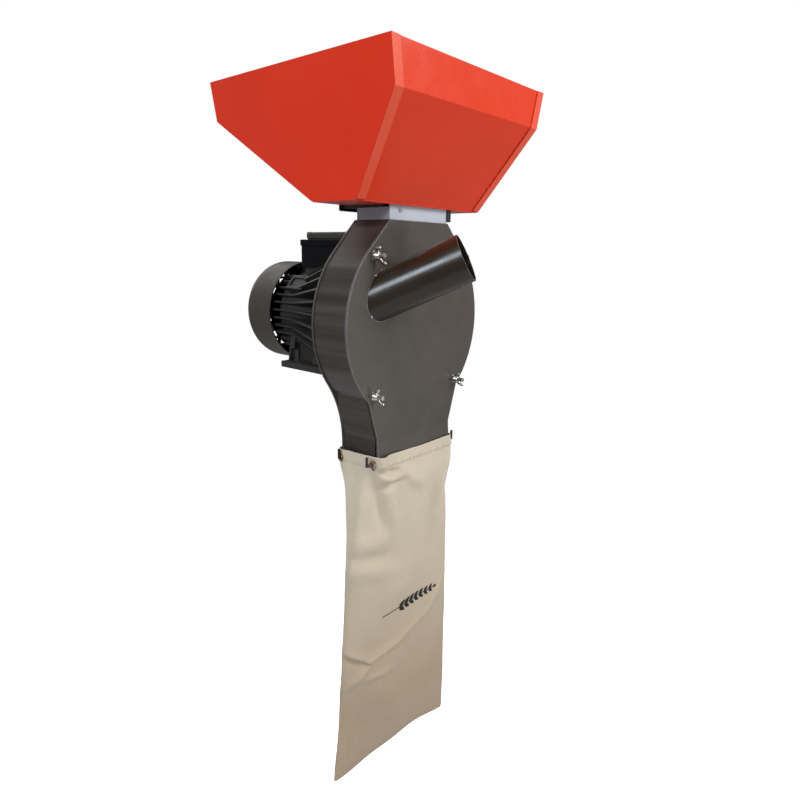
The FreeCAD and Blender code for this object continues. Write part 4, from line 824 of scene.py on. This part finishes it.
# Length, spacing and radius of a stitch, and its (share of its length, height over the cloth), in millimetres
STITCH_LENGTH = 2.3
STITCH_SPACING = 3.0
STITCH_RADIUS = 0.28
STITCH_PATH = ((0.0, -0.15), (0.25, 0.32), (0.75, 0.32), (1.0, -0.15))
HEM_STITCH_Z = BAG_TOP - HEM + 2.2
FOOT_STITCH_Z = BAG_FOOT + 7.0
thread_material = canvas("bag_thread", THREAD)


def stitches(name, path):
    """A row of separate sewn stitches along a path of (s, z) on the bag."""
    parts = []
    run = 0.0
    for (s0, z0), (s1, z1) in zip(path[:-1], path[1:]):
        size = math.hypot(s1 - s0, z1 - z0)
        while run < size:
            ends = []
            for share, lift in STITCH_PATH:
                t = min(1.0, (run + share * STITCH_LENGTH) / size)
                ends.append(on_bag(s0 + (s1 - s0) * t, z0 + (z1 - z0) * t, lift))
            parts.append(tube_along(ends, STITCH_RADIUS / 1000.0, 6))
            run += STITCH_SPACING
        run -= size
    return new_piece(name, *join(parts), "canvas", material=thread_material)


hem_stitches = stitches("bag_hem_stitches", [(s, HEM_STITCH_Z) for s in np.linspace(0, BAG_GIRTH, 130)])
foot_stitches = stitches("bag_foot_stitches",
                         [(s, FOOT_STITCH_Z) for s in np.linspace(4, BAG_GIRTH / 2 - 4, 60)])

# The hooks' sides and depths; the front eyelets lean forward by EYELET_LEAN where the mouth narrows
HOOKS = ((-1, 3.9), (1, 4.5), (-1, 60.0), (1, 60.0))
EYELET_Z = -191.0
EYELET_FRONT_Y = 10.0
EYELET_LEAN = 0.32
EYELET_WALL_X = 80
EYELET_STEPS = 9
EYELET_PROUD = 0.3
EYELET_PROFILE = ((-0.0006, 0.0031), (0.0008, 0.0030), (0.0014, 0.0034), (0.0017, 0.0042), (0.0015, 0.0052),
                  (0.0009, 0.0060), (0.0003, 0.0063), (-0.0004, 0.0062), (-0.0006, 0.0050), (-0.0006, 0.0031))


def eyelets():
    """Rolled brass eyelets, one round each hook, set on the cloth."""
    parts = []
    gx, gy = bag_grid[:2]
    row = int((BAG_TOP - EYELET_Z) / BAG_LENGTH * BAG_DOWN)
    for side, y in HOOKS:
        wall = np.where(np.sign(gx[row]) == side, np.abs(gy[row] - y), 1e9)
        wall = np.where(np.abs(gx[row]) > EYELET_WALL_X, wall, 1e9)
        j = int(np.argmin(wall))
        h, k = j - EYELET_STEPS, (j + EYELET_STEPS) % BAG_AROUND
        facing = Vector((gy[row, k] - gy[row, h], gx[row, h] - gx[row, k], 0)).normalized()
        facing = -facing if facing.x * side < 0 else facing
        if y < EYELET_FRONT_Y:
            facing = (facing + Vector((0, -EYELET_LEAN, 0))).normalized()
        start = at(gx[row, j] + facing.x * EYELET_PROUD, gy[row, j] + facing.y * EYELET_PROUD, EYELET_Z)
        parts.append(lathe(EYELET_PROFILE, start, facing, 40))
    made = new_piece("bag_eyelets_rolled", *join(parts), "eyelet_brass")
    mesh_clean(made)
    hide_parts("bag_eyelets")
    return made


rolled = eyelets()


# The feed tube's axis, its root on the cover's face (x, z) and its radius; each bead is (angle round the
# tube, size); a bead's profile is (height, radius) at size 1
TUBE_AXIS = (0.433, -0.795, 0.425)
TUBE_ROOT = (-66.9, 43.0)
TUBE_OUTER = 32.0
WELD_BEADS = ((305, 1.3), (287, 0.9), (40, 1.7))
WELD_PROFILE = ((0.0, 0.0), (0.0003, 0.00090), (0.0007, 0.00078), (0.0010, 0.00040), (0.0011, 0.0))
WELD_SUNK = 0.15


def weld_spots():
    """Small bright weld beads where the feed tube meets the cover."""
    along = Vector(TUBE_AXIS).normalized()
    first, second = frame_along(along)
    parts = []
    for angle, size in WELD_BEADS:
        a = math.radians(angle)
        out = first * math.cos(a) + second * math.sin(a)
        rim = Vector((TUBE_ROOT[0], 0, TUBE_ROOT[1])) + TUBE_OUTER * out
        rim -= along * (rim.y / along.y)
        profile = [(h * size, size * r) for h, r in WELD_PROFILE]
        parts.append(lathe(profile, at(rim.x, WELD_SUNK, rim.z), (0, -1, 0), 14))
    mesh_clean(new_piece("tube_weld_spots", *join(parts), "casing_paint", material=slots["zinc"]))


weld_spots()


# The printed ear on the cloth, in millimetres: where its stem starts and stops round the bag, its height and
# rise, the stem's half width, how far the ink stands over the cloth, its kernels, and where they start and
# follow along the stem as shares of its length
EAR_START, EAR_STOP = 72.0, 206.0
EAR_Z = -450.0
EAR_RISE = 8.0
STEM_HALF = 0.9
INK_LIFT = 0.25
KERNEL_PAIRS = 7
KERNEL_FIRST, KERNEL_STEP = 0.30, 0.095
KERNEL_SIZE, KERNEL_SHRINK = 15.5, 0.8
KERNEL_WIDTH = 0.34
KERNEL_LEAN = 34
INK = (0.018, 0.017, 0.016)


def printed_ear():
    """A plain printed ear of grain across the front: a stem and pairs of kernels, laid on the cloth."""
    parts = []

    def laid(outline):
        """A closed outline, filled by two rings and a fan so that it follows the cloth."""
        count = len(outline)
        middle = (sum(p[0] for p in outline) / count, sum(p[1] for p in outline) / count)
        rings = [[(middle[0] + (s - middle[0]) * k, middle[1] + (z - middle[1]) * k) for s, z in outline]
                 for k in (1.0, 0.66, 0.33)]
        flat = [p for ring in rings for p in ring] + [middle]
        points = [on_bag(s, z, INK_LIFT) for s, z in flat]
        faces = []
        for r in range(2):
            for i in range(count):
                j = (i + 1) % count
                faces.append((r * count + i, r * count + j, (r + 1) * count + j, (r + 1) * count + i))
        faces += [(2 * count + i, 2 * count + (i + 1) % count, 3 * count) for i in range(count)]
        parts.append((points, faces))

    def spine(t):
        return EAR_START + (EAR_STOP - EAR_START) * t, EAR_Z + EAR_RISE * math.sin(t * math.pi * 0.55)

    stem = [spine(t) for t in np.linspace(0, 1, 26)]
    laid_stem = [(s, z + STEM_HALF) for s, z in stem] + [(s, z - STEM_HALF) for s, z in stem[::-1]]
    points = [on_bag(s, z, INK_LIFT) for s, z in laid_stem]
    n = len(stem)
    parts.append((points, [(i, i + 1, 2 * n - 2 - i, 2 * n - 1 - i) for i in range(n - 1)]))
    for k in range(KERNEL_PAIRS):
        s0, z0 = spine(KERNEL_FIRST + KERNEL_STEP * k)
        size = KERNEL_SIZE - KERNEL_SHRINK * k
        for side in (1, -1):
            lean = math.radians(KERNEL_LEAN * side)
            outline = []
            for a in np.linspace(0, 2 * math.pi, 22, endpoint=False):
                along = size * (0.5 + 0.5 * math.cos(a)) + 1.0
                wide = KERNEL_WIDTH * size * math.sin(a) * (0.72 + 0.28 * math.cos(a + math.pi))
                outline.append((s0 + along * math.cos(lean) - wide * math.sin(lean),
                                z0 + along * math.sin(lean) + wide * math.cos(lean)))
            laid(outline)
    tip = spine(1.0)
    laid([(tip[0] - 4 + 8 * (0.5 + 0.5 * math.cos(a)), tip[1] + 2.6 * math.sin(a))
          for a in np.linspace(0, 2 * math.pi, 20, endpoint=False)])
    ink = Shader("printed_ink", INK, 0.75, specular=0.2)
    gaps = ink.ramp(ink.noise(700.0, 3.0), 0.56, 0.70, 0.0, 0.5)
    ink.colour(ink.mix(gaps, (0.016, 0.015, 0.014), (0.10, 0.085, 0.065)))
    ink.normal(ink.bump(ink.noise(900.0, 2.0), 0.0001, 0.6))
    return new_piece("bag_print", *join(parts), "canvas", material=ink.material)


print_piece = printed_ear()


# ---------------------------------------------------------------- stage and light

FLOOR_Z = cad_box[0].z - 0.42
FLOOR_RINGS = (0.25, 0.5, 0.8, 1.1, 1.4)
FLOOR_TURNS = 64
FLOOR_GLOW, FLOOR_SEEN_GLOW = 0.10, 0.95
WORLD_COLOUR, WORLD_LIGHT = (0.95, 0.97, 1.0, 1.0), 0.24
BACKGROUND_COLOUR, BACKGROUND_LIGHT = (0.985, 0.985, 1.0, 1.0), 1.02
# Name, place, aim, width, power, colour and, for a rectangle, its height
LIGHTS = (
    ("key", (1.3, -2.6, 1.9), (0, -0.05, 0.0), 1.6, 86.0, (1.0, 0.98, 0.95)),
    ("fill", (-2.7, -0.5, 1.25), (0, 0, 0.0), 1.9, 60.0, (0.95, 0.98, 1.0), 0.75),
    ("top", (-0.3, 0.1, 2.6), (0, 0, 0.1), 1.6, 36.0, (0.92, 0.96, 1.0)),
    ("low", (0.7, -2.2, -0.45), (0.0, -0.05, 0.32), 0.9, 13.0, (1.0, 0.98, 0.96)),
    ("back", (0.3, 2.8, 1.7), (0, 0, 0.0), 2.2, 20.0, (1.0, 1.0, 1.0)),
)


def make_floor():
    """A round white floor that looks as white as the background."""
    turns = FLOOR_TURNS
    points = [Vector((0, 0, FLOOR_Z))]
    for r in FLOOR_RINGS:
        for k in range(turns):
            a = 2 * math.pi * k / turns
            points.append(Vector((r * math.cos(a), r * math.sin(a), FLOOR_Z)))
    faces = [(0, 1 + k, 1 + (k + 1) % turns) for k in range(turns)]
    for start in range(1, 1 + (len(FLOOR_RINGS) - 1) * turns, turns):
        for k in range(turns):
            a, b = start + k, start + (k + 1) % turns
            faces.append((a, a + turns, b + turns, b))
    mesh = bpy.data.meshes.new("floor")
    mesh.from_pydata([tuple(p) for p in points], [], faces)
    made = Shader("floor_paint", (0.42, 0.42, 0.43), 0.8, specular=0.05)
    made.colour(made.mix(made.noise(1.5, 2.0), (0.41, 0.41, 0.42), (0.43, 0.43, 0.44)))
    made.set(made.shader, "Emission Color", (1.0, 1.0, 1.0, 1.0))
    seen = made.node("ShaderNodeLightPath").outputs["Is Camera Ray"]
    glow = made.math("ADD", made.math("MULTIPLY", seen, FLOOR_SEEN_GLOW), FLOOR_GLOW)
    made.set(made.shader, "Emission Strength", glow)
    mesh.materials.append(made.material)
    floor = bpy.data.objects.new("floor", mesh)
    bpy.context.scene.collection.objects.link(floor)


def area_light(name, place, aim, size, power, colour, tall=None):
    data = bpy.data.lights.new(name, "AREA")
    data.energy = power
    data.color = colour
    data.size = size
    if tall:
        data.shape = "RECTANGLE"
        data.size_y = tall
    lamp = bpy.data.objects.new(name, data)
    lamp.location = place
    lamp.rotation_euler = (Vector(aim) - Vector(place)).to_track_quat("-Z", "Y").to_euler()
    bpy.context.scene.collection.objects.link(lamp)


def make_world():
    """A dim world that lights the part, and a white one that is seen behind it."""
    world = bpy.data.worlds.new("studio")
    bpy.context.scene.world = world
    world.use_nodes = True
    tree = world.node_tree
    around = tree.nodes["Background"]
    seen = tree.nodes.new("ShaderNodeBackground")
    for node, colour, strength in ((around, WORLD_COLOUR, WORLD_LIGHT),
                                   (seen, BACKGROUND_COLOUR, BACKGROUND_LIGHT)):
        node.inputs["Color"].default_value = colour
        node.inputs["Strength"].default_value = strength
    ray = tree.nodes.new("ShaderNodeLightPath")
    mix = tree.nodes.new("ShaderNodeMixShader")
    tree.links.new(ray.outputs["Is Camera Ray"], mix.inputs[0])
    tree.links.new(around.outputs[0], mix.inputs[1])
    tree.links.new(seen.outputs[0], mix.inputs[2])
    tree.links.new(mix.outputs[0], tree.nodes["World Output"].inputs["Surface"])


make_floor()
make_world()
for light in LIGHTS:
    area_light(*light)

scene = bpy.context.scene
scene.view_settings.view_transform = "Standard"
scene.view_settings.look = "None"
scene.view_settings.exposure = 0.0
